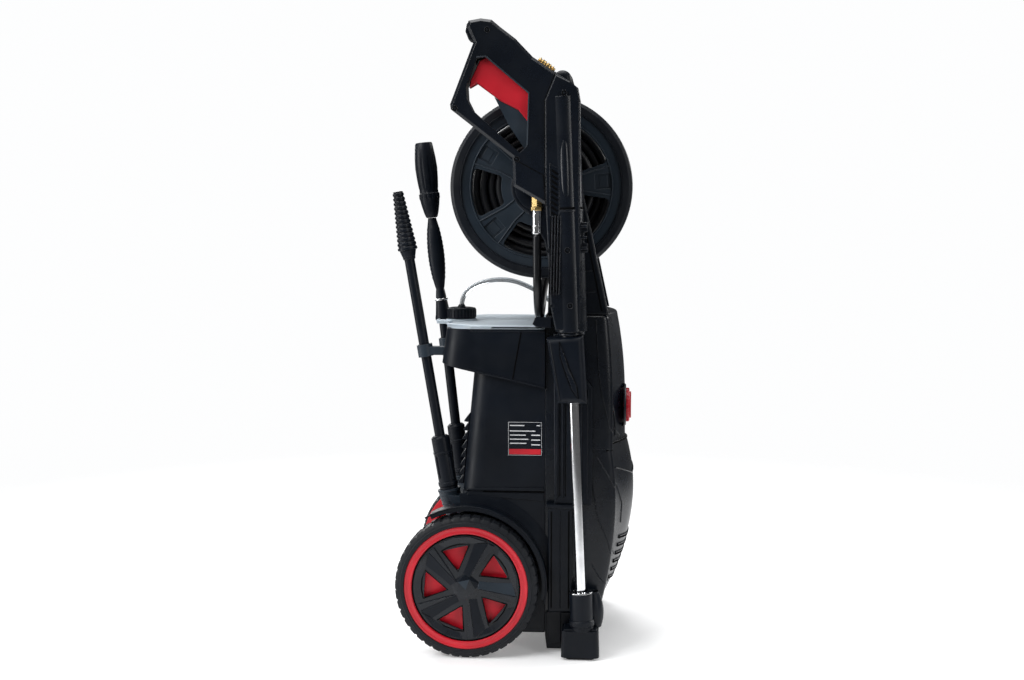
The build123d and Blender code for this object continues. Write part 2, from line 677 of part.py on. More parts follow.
for side in (-1, 1):
    face_x = side * WHEEL_OUTER_X
    half_plane = Plane(origin=(0, AXLE_Y, AXLE_Z), x_dir=(1, 0, 0), z_dir=(0, 0, 1))
    with BuildPart() as tyre:
        with BuildSketch(half_plane):
            with BuildLine():
                Polyline(
                    (face_x, RIM_RADIUS + 0.1),
                    (face_x, RIM_RADIUS + 6),
                    (face_x - side * 5, WHEEL_RADIUS - 1.5),
                    (face_x - side * 12, WHEEL_RADIUS),
                    (face_x - side * (WHEEL_WIDTH - 12), WHEEL_RADIUS),
                    (face_x - side * (WHEEL_WIDTH - 5), WHEEL_RADIUS - 1.5),
                    (face_x - side * WHEEL_WIDTH, RIM_RADIUS + 6),
                    (face_x - side * WHEEL_WIDTH, RIM_RADIUS + 0.1),
                    close=True,
                )
            make_face()
        revolve(axis=AXLE_LINE)
    save(tyre, f"tyre_{wheel_side_name(side)}")

    with BuildPart() as rim:
        with BuildSketch(half_plane):
            with BuildLine():
                Polyline(
                    (face_x - side * 2, RIM_RADIUS),
                    (face_x - side * 2, RIM_RECESS_RADIUS),
                    (face_x - side * DISC_DEPTH, RIM_RECESS_RADIUS - 1),
                    (face_x - side * DISC_DEPTH, AXLE_DIAMETER / 2 + RUN_GAP),
                    (face_x - side * (WHEEL_WIDTH - 1), AXLE_DIAMETER / 2 + RUN_GAP),
                    (face_x - side * (WHEEL_WIDTH - 1), HUB_RADIUS),
                    (face_x - side * (DISC_DEPTH + 4), HUB_RADIUS),
                    (face_x - side * (DISC_DEPTH + 4), RIM_RADIUS - 5),
                    (face_x - side * (WHEEL_WIDTH - 1), RIM_RADIUS - 5),
                    (face_x - side * (WHEEL_WIDTH - 1), RIM_RADIUS),
                    close=True,
                )
            make_face()
        revolve(axis=AXLE_LINE)
        with BuildSketch(side_plane(face_x - side * (DISC_DEPTH + 4))):
            with Locations((AXLE_Y, AXLE_Z)):
                with PolarLocations((HUB_RADIUS + RIM_RADIUS) / 2 - 3, SPOKE_COUNT, start_angle=21):
                    Rectangle(RIM_RADIUS - HUB_RADIUS, 4)
        extrude(amount=-side * 20)
    save(rim, f"rim_{wheel_side_name(side)}")

    with BuildPart() as hub_cover:
        with BuildSketch(side_plane(face_x - side * 3)):
            with Locations((AXLE_Y, AXLE_Z)):
                Circle(RIM_RECESS_RADIUS - 1.2)
        extrude(amount=-side * 5)
        for window in range(SPOKE_COUNT):
            start = FIRST_WINDOW + 360 * window / SPOKE_COUNT
            corners = []
            for radius, angle in ((WINDOW_CORNER_RADIUS, start), (WINDOW_CORNER_RADIUS, start + 38),
                                  (WINDOW_TIP_RADIUS, start + 8)):
                corners.append((AXLE_Y + radius * cos(radians(angle)), AXLE_Z + radius * sin(radians(angle))))
            with BuildSketch(side_plane(face_x)):
                with BuildLine():
                    Polyline(*corners, close=True)
                window_face = make_face()
                fillet(window_face.vertices(), radius=2.5)
            extrude(amount=-side * 12, mode=Mode.SUBTRACT)
    save(hub_cover, f"hub_cover_{wheel_side_name(side)}")

# ======================================================================================
# Reel arms, reel and crank
# ======================================================================================
BUSH_RADIUS = REEL_SHAFT_DIAMETER / 2 + BUSH_WALL
SHAFT_LINE = Axis((0, REEL_Y, REEL_Z), (1, 0, 0))

for side in (-1, 1):
    arm_plane = side_plane(side * (ARM_OUTER_X - ARM_THICKNESS))
    with BuildPart() as reel_arm:
        with BuildSketch(arm_plane):
            with BuildLine():
                Polyline(
                    (-139, DECK_Z),
                    (-135, 510),
                    (-121, 575),
                    (-115, 605),
                    (-101, 668),
                    (-95, 708),
                    (-84, 722),
                    (-56, 722),
                    (REEL_Y, REEL_Z + ARM_BOSS_RADIUS - 1),
                    (REEL_Y + 18, REEL_Z - ARM_BOSS_RADIUS + 5),
                    (-46, 598),
                    (-53, 560),
                    (-51, DECK_Z),
                    close=True,
                )
            make_face()
            with Locations((REEL_Y, REEL_Z)):
                Circle(ARM_BOSS_RADIUS)
        extrude(amount=side * ARM_THICKNESS)
        fillet(reel_arm.faces().sort_by(Axis.X)[0 if side < 0 else -1].edges(), radius=3)
        with BuildSketch(side_plane(side * (ARM_OUTER_X + 1))):
            with Locations((REEL_Y, REEL_Z)):
                Circle(BUSH_RADIUS)
        extrude(amount=-side * (ARM_THICKNESS + 2), mode=Mode.SUBTRACT)
        with BuildSketch(Plane.XY.offset(DECK_Z)):
            with Locations((side * HANDLE_LEG_X, HANDLE_Y)):
                Circle(HANDLE_LEG_DIAMETER / 2 + SLIDE_GAP)
        extrude(amount=REEL_Z - DECK_Z + 60, mode=Mode.SUBTRACT)
    save(reel_arm, f"reel_arm_{wheel_side_name(side)}")

with BuildPart() as reel_bushings:
    for side in (-1, 1):
        with BuildSketch(side_plane(side * (ARM_OUTER_X - ARM_THICKNESS))):
            with Locations((REEL_Y, REEL_Z)):
                Circle(BUSH_RADIUS)
                Circle(REEL_SHAFT_DIAMETER / 2 + RUN_GAP, mode=Mode.SUBTRACT)
        extrude(amount=side * ARM_THICKNESS)
save(reel_bushings, "reel_bushings")

FLANGE_WEB = 7.0
RIM_BAND = 15.0
for side in (-1, 1):
    outer_x = side * REEL_HALF_WIDTH
    reel_half_plane = Plane(origin=(0, REEL_Y, REEL_Z), x_dir=(1, 0, 0), z_dir=(0, 0, 1))
    with BuildPart() as flange:
        with BuildSketch(reel_half_plane):
            with BuildLine():
                Polyline(
                    (outer_x - side * 3, REEL_SHAFT_DIAMETER / 2),
                    (outer_x - side * 1, 36),
                    (outer_x - side * 4, 44),
                    (outer_x - side * 4, WINDOW_OUTER + 2),
                    (outer_x - side * 2, REEL_RADIUS - RIM_BAND),
                    (outer_x - side * 0, REEL_RADIUS - RIM_BAND + 1),
                    (outer_x - side * 0, REEL_RADIUS - 5),
                    (outer_x - side * 3, REEL_RADIUS - 1),
                    (outer_x - side * 6, REEL_RADIUS),
                    (outer_x - side * (FLANGE_THICKNESS - 2), REEL_RADIUS - 1),
                    (outer_x - side * FLANGE_THICKNESS, REEL_RADIUS - 4),
                    (outer_x - side * (4 + FLANGE_WEB), REEL_RADIUS - RIM_BAND),
                    (outer_x - side * (4 + FLANGE_WEB), REEL_SHAFT_DIAMETER / 2),
                    close=True,
                )
            make_face()
        revolve(axis=SHAFT_LINE)
        for window in range(SPOKE_COUNT):
            middle = SPOKE_TILT + 180 / SPOKE_COUNT + 360 * window / SPOKE_COUNT
            with BuildSketch(side_plane(outer_x + side)):
                with BuildLine():
                    outer = CenterArc((REEL_Y, REEL_Z), WINDOW_OUTER, middle - WINDOW_SPAN / 2, WINDOW_SPAN)
                    inner = CenterArc((REEL_Y, REEL_Z), WINDOW_INNER, middle - WINDOW_SPAN / 2 + 1,
                                      WINDOW_SPAN - 2)
                    Line(outer @ 0, inner @ 0)
                    Line(outer @ 1, inner @ 1)
                window_face = make_face()
                fillet(window_face.vertices(), radius=6)
            extrude(amount=-side * (FLANGE_THICKNESS + 4), mode=Mode.SUBTRACT)
            with BuildSketch(side_plane(outer_x + side)):
                with Locations((REEL_Y, REEL_Z)):
                    with PolarLocations(90, 1, start_angle=middle + 180 / SPOKE_COUNT):
                        RectangleRounded(24, 22, 2)
            extrude(amount=-side * 7.5, mode=Mode.SUBTRACT)
    save(flange, f"reel_flange_{wheel_side_name(side)}")

winding_half = REEL_HALF_WIDTH - 4 - FLANGE_WEB
with BuildPart() as reel_drum:
    with BuildSketch(side_plane(-winding_half)):
        with Locations((REEL_Y, REEL_Z)):
            Circle(DRUM_RADIUS)
            Circle(DRUM_RADIUS - WALL, mode=Mode.SUBTRACT)
    extrude(amount=2 * winding_half)
save(reel_drum, "reel_drum")

WINDING_RADIUS = DRUM_RADIUS + HOSE_LAYERS * HOSE_DIAMETER
with BuildPart() as wound_hose:
    with BuildSketch(side_plane(-winding_half + 1)):
        with Locations((REEL_Y, REEL_Z)):
            Circle(WINDING_RADIUS)
            Circle(DRUM_RADIUS + 0.2, mode=Mode.SUBTRACT)
    extrude(amount=2 * winding_half - 2)
save(wound_hose, "wound_hose")

CRANK_THICKNESS = 9.0
CRANK_X = ARM_OUTER_X + 3
SHAFT_LEFT_X = -ARM_OUTER_X - 2
with BuildPart() as reel_shaft:
    with BuildSketch(side_plane(SHAFT_LEFT_X)):
        with Locations((REEL_Y, REEL_Z)):
            Circle(REEL_SHAFT_DIAMETER / 2)
    extrude(amount=CRANK_X + CRANK_THICKNESS - 2 - SHAFT_LEFT_X)
save(reel_shaft, "reel_shaft")

PIN_DIAMETER = 8.0
CRANK_ANGLE = 60.0
crank_end = (REEL_Y + CRANK_RADIUS * cos(radians(CRANK_ANGLE)), REEL_Z + CRANK_RADIUS * sin(radians(CRANK_ANGLE)))
with BuildPart() as crank_arm:
    with BuildSketch(side_plane(CRANK_X)):
        with Locations((REEL_Y, REEL_Z)):
            Circle(19)
        with Locations(crank_end):
            Circle(12)
        make_hull()
        with Locations((REEL_Y, REEL_Z)):
            Circle(REEL_SHAFT_DIAMETER / 2, mode=Mode.SUBTRACT)
    extrude(amount=CRANK_THICKNESS)
    with BuildSketch(side_plane(CRANK_X + CRANK_THICKNESS)):
        with Locations((REEL_Y, REEL_Z)):
            Circle(19)
    extrude(amount=3)
    fillet(crank_arm.faces().sort_by(Axis.X)[-1].edges(), radius=1.5)
    with BuildSketch(side_plane(CRANK_X + CRANK_THICKNESS)):
        with Locations(crank_end):
            Circle(PIN_DIAMETER / 2)
    extrude(amount=CRANK_KNOB_LENGTH - 4)
save(crank_arm, "crank_arm")

with BuildPart() as crank_knob:
    with BuildSketch(side_plane(CRANK_X + CRANK_THICKNESS + FACE_GAP)):
        with Locations(crank_end):
            Circle(CRANK_KNOB_DIAMETER / 2)
    extrude(amount=CRANK_KNOB_LENGTH, taper=4)
    fillet(crank_knob.edges(), radius=4)
    with BuildSketch(side_plane(CRANK_X + CRANK_THICKNESS)):
        with Locations(crank_end):
            Circle(PIN_DIAMETER / 2 + RUN_GAP)
    extrude(amount=CRANK_KNOB_LENGTH - 3.5, mode=Mode.SUBTRACT)
save(crank_knob, "crank_knob")

# ======================================================================================
# Push handle and switch
# ======================================================================================
with BuildPart() as handle_legs:
    with BuildSketch(Plane.XY.offset(HANDLE_LEG_BOTTOM)):
        with Locations((-HANDLE_LEG_X, HANDLE_Y), (HANDLE_LEG_X, HANDLE_Y)):
            Circle(HANDLE_LEG_DIAMETER / 2)
    extrude(amount=HANDLE_BAR_Z - HANDLE_LEG_BOTTOM)
save(handle_legs, "handle_legs")

HANDLE_END_X = HANDLE_LEG_X + HANDLE_GRIP_DIAMETER / 2
with BuildPart() as handle_grip:
    with BuildSketch(side_plane(-HANDLE_END_X)):
        with Locations((HANDLE_Y, HANDLE_BAR_Z)):
            Circle(HANDLE_GRIP_DIAMETER / 2)
    extrude(amount=2 * HANDLE_END_X)
    fillet(handle_grip.faces().filter_by(GeomType.PLANE).edges(), radius=9)
    with BuildSketch(Plane.XY.offset(HANDLE_LEG_BOTTOM)):
        with Locations((-HANDLE_LEG_X, HANDLE_Y), (HANDLE_LEG_X, HANDLE_Y)):
            Circle(HANDLE_LEG_DIAMETER / 2)
    extrude(amount=HANDLE_BAR_Z - HANDLE_LEG_BOTTOM, mode=Mode.SUBTRACT)
save(handle_grip, "handle_grip")

KNOB_FACE_Y = -164.6
with BuildPart() as switch_knob:
    with BuildSketch(Plane.XZ.offset(-KNOB_FACE_Y)):
        with Locations((0, KNOB_Z)):
            Circle(KNOB_DIAMETER / 2)
    extrude(amount=KNOB_PROUD)
    fillet(switch_knob.edges().sort_by(Axis.Y)[:1], radius=1.5)
    with BuildSketch(Plane.XZ.offset(-KNOB_FACE_Y + KNOB_PROUD)):
        with Locations((0, KNOB_Z)):
            RectangleRounded(10, KNOB_DIAMETER - 10, 4)
    extrude(amount=2.5)
    with BuildSketch(Plane.XZ.offset(-KNOB_FACE_Y)):
        with Locations((0, KNOB_Z)):
            Circle(KNOB_SHAFT_DIAMETER / 2)
    extrude(amount=-16)
save(switch_knob, "switch_knob")

# ======================================================================================
# Spray gun: two shells round a brass valve, with the lance out of its lower end
# ======================================================================================
GUN_OUTLINE = (
    (57, 902), (59, 893), (50, 873), (83, 788), (82, 781), (-4, 714), (-5, 675), (-50, 649),
    (-57, 509), (-64, 474), (-99, 474), (-101, 509), (-98, 650), (-98, 792), (-95, 809),
    (-84, 818), (-63, 831), (-32, 852), (-8, 877), (13, 893), (25, 903), (40, 905),
)
BARREL_OUTLINE = (
    (-50, 649), (-57, 509), (-64, 474), (-99, 474), (-101, 509), (-98, 650), (-98, 792), (-95, 809),
    (-84, 818), (-63, 828), (-49, 794),
)
GUN_OPENING = (
    (45, 851), (60, 813), (59, 795), (51, 779), (41, 770), (-14, 721), (-24, 730), (-26, 802), (33, 852),
)
TRIGGER_CHANNEL = (
    (50, 851), (30, 866), (8, 866), (-44, 810), (-41, 760), (-35, 708), (-20, 708), (-10, 730), (30, 780),
)
BARREL_BOSS_RADIUS = 22.5
VALVE_Z = 664.0
INLET_NUT_DIAMETER = 16.0
FERRULE_DIAMETER = 14.5
FERRULE_BOTTOM_Z = 608.0
NUT_BOTTOM_Z = 642.0
trigger_slot = TRIGGER_WIDTH / 2 + 1

with BuildPart() as gun_body:
    with BuildSketch(side_plane(GUN_X)):
        with BuildLine():
            Polyline(*GUN_OUTLINE, close=True)
        make_face()
    extrude(amount=GUN_HALF_THICKNESS, both=True)
    gun_sides = gun_body.faces().filter_by(lambda f: abs(abs(f.center().X - GUN_X) - GUN_HALF_THICKNESS) < 0.1)
    chamfer(gun_sides.edges(), length=4)
    with BuildSketch(side_plane(GUN_X)):
        with BuildLine():
            Polyline(*BARREL_OUTLINE, close=True)
        make_face()
        offset(amount=-0.5)
    extrude(amount=BARREL_HALF_THICKNESS, both=True)
    barrel_sides = gun_body.faces().filter_by(
        lambda f: abs(abs(f.center().X - GUN_X) - BARREL_HALF_THICKNESS) < 0.1)
    chamfer(barrel_sides.edges(), length=1.5)
    with BuildSketch(lance_plane(BARREL_NOSE_Z + 1)):
        Circle(BARREL_BOSS_RADIUS)
    extrude(amount=LANCE_TOP_Z - BARREL_NOSE_Z - 2)
    with BuildSketch(lance_plane(BARREL_NOSE_Z + 4)):
        Circle(BARREL_NOSE_DIAMETER / 2)
    extrude(amount=-22)
    with BuildSketch(side_plane(GUN_X)):
        with BuildLine():
            Polyline(*GUN_OUTLINE, close=True)
        make_face()
        with BuildLine():
            Polyline(*GUN_OPENING, close=True)
        make_face(mode=Mode.SUBTRACT)
        offset(amount=-GUN_WALL)
    extrude(amount=GUN_HALF_THICKNESS - GUN_WALL, both=True, mode=Mode.SUBTRACT)
    with BuildSketch(side_plane(GUN_X)):
        with BuildLine():
            Polyline(*GUN_OPENING, close=True)
        make_face()
    extrude(amount=GUN_HALF_THICKNESS + 5, both=True, mode=Mode.SUBTRACT)
    with BuildSketch(side_plane(GUN_X)):
        with BuildLine():
            Polyline(*TRIGGER_CHANNEL, close=True)
        make_face()
    extrude(amount=trigger_slot, both=True, mode=Mode.SUBTRACT)
    with BuildSketch(side_plane(GUN_X)):
        with Locations(TRIGGER_PIVOT):
            Circle(TRIGGER_PIN_DIAMETER / 2)
    extrude(amount=GUN_HALF_THICKNESS - 1.5, both=True, mode=Mode.SUBTRACT)
    with BuildSketch(lance_plane(BARREL_NOSE_Z - 25)):
        Circle(LANCE_DIAMETER / 2)
    extrude(amount=60, mode=Mode.SUBTRACT)
    with BuildSketch(Plane(origin=(GUN_X, INLET_Y, NUT_BOTTOM_Z - 5))):
        Circle(INLET_NUT_DIAMETER / 2 + 1)
    extrude(amount=VALVE_Z - NUT_BOTTOM_Z + 5, mode=Mode.SUBTRACT)

for side in (-1, 1):
    with BuildPart() as gun_shell:
        add(gun_body.part)
        split(bisect_by=side_plane(GUN_X), keep=Keep.BOTTOM if side < 0 else Keep.TOP)
    save(gun_shell, f"gun_shell_{wheel_side_name(side)}")

with BuildPart() as gun_valve:
    with BuildSketch(Plane(origin=(GUN_X, 0, VALVE_Z))):
        with Locations((0, (INLET_Y + lance_y(VALVE_Z)) / 2)):
            RectangleRounded(20, INLET_Y - lance_y(VALVE_Z) + 12, 5)
    extrude(amount=26)
    with BuildSketch(Plane(origin=(GUN_X, INLET_Y - 18, VALVE_Z + 26))):
        Circle(8)
    extrude(amount=40)
save(gun_valve, "gun_valve")

with BuildPart() as inlet_nut:
    with BuildSketch(Plane(origin=(GUN_X, INLET_Y, NUT_BOTTOM_Z))):
        RegularPolygon(INLET_NUT_DIAMETER / 2, 6)
    extrude(amount=VALVE_Z - NUT_BOTTOM_Z)
save(inlet_nut, "inlet_nut")

with BuildPart() as hose_ferrule:
    with BuildSketch(Plane(origin=(GUN_X, INLET_Y, FERRULE_BOTTOM_Z))):
        Circle(FERRULE_DIAMETER / 2)
    extrude(amount=NUT_BOTTOM_Z - FERRULE_BOTTOM_Z)
    chamfer(hose_ferrule.edges(), length=1)
save(hose_ferrule, "hose_ferrule")

LANCE_BOTTOM_Z = 80.0
lance_length = hypot(1, LANCE_LEAN) * (VALVE_Z - 2 - LANCE_BOTTOM_Z)
with BuildPart() as lance_tube:
    with BuildSketch(lance_plane(LANCE_BOTTOM_Z)):
        Circle(LANCE_DIAMETER / 2)
        Circle(LANCE_DIAMETER / 2 - 1.5, mode=Mode.SUBTRACT)
    extrude(amount=lance_length)
save(lance_tube, "lance_tube")

with BuildPart() as lance_nozzle:
    with BuildSketch(lance_plane(LANCE_BOTTOM_Z)):
        Circle(LANCE_DIAMETER / 2 + 1.5)
    extrude(amount=-18, taper=6)
    with BuildSketch(lance_plane(LANCE_BOTTOM_Z)):
        Circle(LANCE_DIAMETER / 2 - 1.5)
    extrude(amount=12)
save(lance_nozzle, "lance_nozzle")

COUPLER_X = GUN_X + GUN_HALF_THICKNESS + 6.2
COUPLER_START = (-37.0, 851.0)
coupler_plane = Plane(origin=(COUPLER_X, *COUPLER_START), x_dir=(1, 0, 0), z_dir=(0, -24, -17))
with BuildPart() as brass_coupler:
    with BuildSketch(coupler_plane):
        Circle(5)
    extrude(amount=27)
    for along in (6, 15):
        with BuildSketch(coupler_plane.offset(along)):
            Circle(6.2)
        extrude(amount=4)
    with BuildSketch(coupler_plane):
        Circle(3)
    extrude(amount=20, mode=Mode.SUBTRACT)
save(brass_coupler, "brass_coupler")

with BuildPart() as trigger_pin:
    with BuildSketch(side_plane(GUN_X)):
        with Locations(TRIGGER_PIVOT):
            Circle(TRIGGER_PIN_DIAMETER / 2)
    extrude(amount=GUN_HALF_THICKNESS - 1.5, both=True)
save(trigger_pin, "trigger_pin")

TRIGGER_PAD = (
    (42.5, 848), (29, 855), (-30, 808), (-31, 764), (-26.6, 762), (-11.9, 780), (12, 792), (46, 817),
    (56.5, 811), (55.5, 820),
)
TRIGGER_ARM = (
    (22, 798.5), (12, 792), (-11.9, 780), (-26.6, 762), (-31, 760), (-33, 716), (-21, 712), (-20, 727),
    (1, 758),
)
with BuildPart() as trigger_pad:
    with BuildSketch(side_plane(GUN_X)):
        with BuildLine():
            Polyline(*TRIGGER_PAD, close=True)
        make_face()
    extrude(amount=TRIGGER_WIDTH / 2, both=True)
    pad_sides = trigger_pad.faces().filter_by(lambda f: abs(abs(f.center().X - GUN_X) - TRIGGER_WIDTH / 2) < 0.1)
    chamfer(pad_sides.edges(), length=1.5)
save(trigger_pad, "trigger_pad")

with BuildPart() as trigger_arm:
    with BuildSketch(side_plane(GUN_X)):
        with BuildLine():
            Polyline(*TRIGGER_ARM, close=True)
        make_face()
        with Locations(TRIGGER_PIVOT):
            Circle(6.5)
    extrude(amount=TRIGGER_WIDTH / 2 - 3, both=True)
    with BuildSketch(side_plane(GUN_X)):
        with Locations(TRIGGER_PIVOT):
            Circle(TRIGGER_PIN_DIAMETER / 2 + RUN_GAP)
    extrude(amount=TRIGGER_WIDTH, both=True, mode=Mode.SUBTRACT)
save(trigger_arm, "trigger_arm")

# ======================================================================================
# Spare lances in their cups
# ======================================================================================


def along_spare(lean, z):
    """Distance along a spare lance from its foot to height z."""
    return (z - SPARE_FOOT_Z) * hypot(1, lean)


SEAT_DEPTH = 13.0
turbo_start = spare_plane(TURBO_X, TURBO_FOOT_Y, TURBO_LEAN, SPARE_FOOT_Z)
turbo_head_s = along_spare(TURBO_LEAN, TURBO_HEAD_Z)
with BuildPart() as turbo_lance:
    with BuildSketch(turbo_start.offset(-SEAT_DEPTH)):
        Circle(BAYONET_DIAMETER / 2)
    extrude(amount=SEAT_DEPTH + BAYONET_LENGTH)
    chamfer(turbo_lance.edges().sort_by(Axis.Z)[-1:], length=3)
    with BuildSketch(turbo_start.offset(BAYONET_LENGTH)):
        Circle(SPARE_DIAMETER / 2)
    extrude(amount=turbo_head_s - BAYONET_LENGTH)
save(turbo_lance, "turbo_lance")

HEAD_RINGS = 12
TURBO_LOW_RADIUS = 14.0
TURBO_HIGH_RADIUS = 7.5
with BuildPart() as turbo_head:
    with BuildSketch(turbo_start.offset(turbo_head_s)):
        Circle(TURBO_LOW_RADIUS)
    with BuildSketch(turbo_start.offset(turbo_head_s + TURBO_HEAD_LENGTH)):
        Circle(TURBO_HIGH_RADIUS)
    loft()
    for ring in range(HEAD_RINGS):
        along = 2 + ring * (TURBO_HEAD_LENGTH - 6) / (HEAD_RINGS - 1)
        share = along / TURBO_HEAD_LENGTH
        with BuildSketch(turbo_start.offset(turbo_head_s + along)):
            Circle(TURBO_LOW_RADIUS + (TURBO_HIGH_RADIUS - TURBO_LOW_RADIUS) * share + 1)
        extrude(amount=3)
    with BuildSketch(turbo_start.offset(turbo_head_s + TURBO_HEAD_LENGTH)):
        Circle(4)
    extrude(amount=-20, mode=Mode.SUBTRACT)
save(turbo_head, "turbo_head")

vario_foot = (VARIO_X, VARIO_FOOT_Y, SPARE_FOOT_Z)
vario_start = spare_plane(VARIO_X, VARIO_FOOT_Y, VARIO_LEAN, SPARE_FOOT_Z)
vario_profile_plane = Plane(origin=vario_foot, x_dir=(1, 0, 0), z_dir=(0, -1, VARIO_LEAN))
vario_line = Axis(vario_foot, (0, VARIO_LEAN, 1))
SHEATH_LOW_S = along_spare(VARIO_LEAN, 474)
SHEATH_HIGH_S = along_spare(VARIO_LEAN, 518)
GRIP_HIGH_S = along_spare(VARIO_LEAN, VARIO_HEAD_Z)
with BuildPart() as vario_lance:
    with BuildSketch(vario_start.offset(-SEAT_DEPTH)):
        Circle(BAYONET_DIAMETER / 2)
    extrude(amount=SEAT_DEPTH + BAYONET_LENGTH)
    chamfer(vario_lance.edges().sort_by(Axis.Z)[-1:], length=3)
    with BuildSketch(vario_start.offset(BAYONET_LENGTH)):
        Circle(SPARE_DIAMETER / 2)
    extrude(amount=SHEATH_LOW_S - BAYONET_LENGTH)
save(vario_lance, "vario_lance")

with BuildPart() as vario_grip:
    with BuildSketch(vario_profile_plane):
        with BuildLine():
            Polyline((0, SHEATH_LOW_S), (12.5, SHEATH_LOW_S), (12.5, SHEATH_LOW_S + 4), (7, SHEATH_HIGH_S),
                     (6.2, SHEATH_HIGH_S + 4))
            Spline((6.2, SHEATH_HIGH_S + 4), (12, SHEATH_HIGH_S + 42), (11.5, SHEATH_HIGH_S + 80),
                   (6.5, GRIP_HIGH_S))
            Line((6.5, GRIP_HIGH_S), (0, GRIP_HIGH_S))
            Line((0, GRIP_HIGH_S), (0, SHEATH_LOW_S))
        make_face()
    revolve(axis=vario_line)
save(vario_grip, "vario_grip")

VARIO_HEAD_LENGTH = 115.0
with BuildPart() as vario_head:
    with BuildSketch(vario_profile_plane):
        with BuildLine():
            base = GRIP_HIGH_S + FACE_GAP
            Polyline((0, base), (8, base), (11, base + 8), (15.5, base + 30), (15.5, base + 37), (14.5, base + 38),
                     (17, base + 76), (13.5, base + VARIO_HEAD_LENGTH), (9, base + VARIO_HEAD_LENGTH),
                     (9, base + VARIO_HEAD_LENGTH - 28), (0, base + VARIO_HEAD_LENGTH - 28), close=True)
        make_face()
    revolve(axis=vario_line)
save(vario_head, "vario_head")

# ======================================================================================
# Hoses
# ======================================================================================


def bend_radii(points):
    """One radius for each inner point: 0.45 of the shorter run over the tangent of half the turn."""
    radii = []
    for before, here, after in zip(points, points[1:], points[2:]):
        run_in = Vector(*here) - Vector(*before)
        run_out = Vector(*after) - Vector(*here)
        half_turn = radians(run_in.get_angle(run_out)) / 2
        radii.append(0.45 * min(run_in.length, run_out.length) / tan(half_turn))
    return radii


# From the ferrule under the gun down, round under the reel arm and up to the reel's winding.
PRESSURE_HOSE_ROUTE = (
    (-150, -37.5, 608), (-150, -37.5, 571), (-149, -38, 533), (-125, -38, 498), (-84, -38.5, 485),
    (-43, -39, 498), (-19, -41, 532), (-17, -48, 556), (-16.5, -66, 578), (-16, -90, 592),
)
# From the tank cap up in an arch and down into the deck.
FEED_TUBE_ROUTE = (
    (CAP_X, CAP_Y, 495), (CAP_X, CAP_Y, 513), (-5, 65, 530), (-4.5, 38, 538), (-4.5, 8, 537.5),
    (-5, -19, 527), (-5, -43, 513), (-5, -60, DECK_Z + 4),
)
hose_radii = bend_radii(PRESSURE_HOSE_ROUTE)
print("pressure hose radii", [round(radius) for radius in hose_radii])
with BuildPart() as pressure_hose:
    with BuildLine() as hose_path:
        FilletPolyline(*PRESSURE_HOSE_ROUTE, radius=hose_radii)
    with BuildSketch(Plane(origin=hose_path.line @ 0, z_dir=hose_path.line % 0)):
        Circle(HOSE_DIAMETER / 2)
    sweep()
hose_length = hose_path.wires()[0].length
print("pressure hose length", round(hose_length), "volume share",
      round(pressure_hose.part.volume / (pi * (HOSE_DIAMETER / 2) ** 2 * hose_length), 3))
save(pressure_hose, "pressure_hose")

feed_radii = bend_radii(FEED_TUBE_ROUTE)
print("feed tube radii", [round(radius) for radius in feed_radii])
with BuildPart() as feed_tube:
    with BuildLine() as feed_path:
        FilletPolyline(*FEED_TUBE_ROUTE, radius=feed_radii)
    with BuildSketch(Plane(origin=feed_path.line @ 0, z_dir=feed_path.line % 0)):
        Circle(FEED_DIAMETER / 2)
    sweep()
feed_length = feed_path.wires()[0].length
print("feed tube length", round(feed_length), "volume share",
      round(feed_tube.part.volume / (pi * (FEED_DIAMETER / 2) ** 2 * feed_length), 3))
save(feed_tube, "feed_tube")

feed_end = Vector(*FEED_TUBE_ROUTE[-1])
feed_run = feed_end - Vector(*FEED_TUBE_ROUTE[-2])
with BuildPart() as feed_nipple:
    with BuildSketch(Plane(origin=feed_end, x_dir=(1, 0, 0), z_dir=feed_run)):
        Circle(NIPPLE_RADIUS)
    extrude(amount=3 * NIPPLE_RADIUS)
    split(bisect_by=Plane.XY.offset(DECK_Z), keep=Keep.TOP)
save(feed_nipple, "feed_nipple")
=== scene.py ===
"""Look of the upright pressure washer: materials, moulded detail, hoses, lights and camera.

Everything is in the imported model's frame: +Z up, the front faces -Y, the spray gun hangs at -X.
The sizes of pieces are in millimetres, which the helpers turn into metres. Materials, lights and the camera
are in metres.
"""
import json
from math import cos, hypot, pi, radians, sin

import bpy
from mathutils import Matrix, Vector
from mathutils.bvhtree import BVHTree


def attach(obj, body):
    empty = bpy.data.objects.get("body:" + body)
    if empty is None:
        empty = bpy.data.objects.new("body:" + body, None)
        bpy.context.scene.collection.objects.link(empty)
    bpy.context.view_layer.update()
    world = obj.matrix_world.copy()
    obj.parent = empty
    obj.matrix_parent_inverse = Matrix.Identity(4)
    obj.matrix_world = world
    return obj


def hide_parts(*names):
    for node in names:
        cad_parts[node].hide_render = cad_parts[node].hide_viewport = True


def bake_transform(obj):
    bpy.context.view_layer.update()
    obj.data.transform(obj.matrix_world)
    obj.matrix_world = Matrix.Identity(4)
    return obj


MM = 0.001
SIDES = ((-1, "l"), (1, "r"))
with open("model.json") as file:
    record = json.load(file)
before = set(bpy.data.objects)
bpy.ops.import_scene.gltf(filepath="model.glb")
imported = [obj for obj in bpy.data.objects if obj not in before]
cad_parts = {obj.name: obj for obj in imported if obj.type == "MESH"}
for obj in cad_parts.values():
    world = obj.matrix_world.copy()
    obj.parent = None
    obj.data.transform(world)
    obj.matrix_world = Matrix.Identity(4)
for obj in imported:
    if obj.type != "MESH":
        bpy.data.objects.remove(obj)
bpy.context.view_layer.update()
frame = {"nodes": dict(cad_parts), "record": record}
scene = bpy.context.scene


# ---- Materials ----
EDGE_WIDTH = 0.0012
METAL_EDGE_WIDTH = 0.0006
PLASTIC_IOR = 1.45


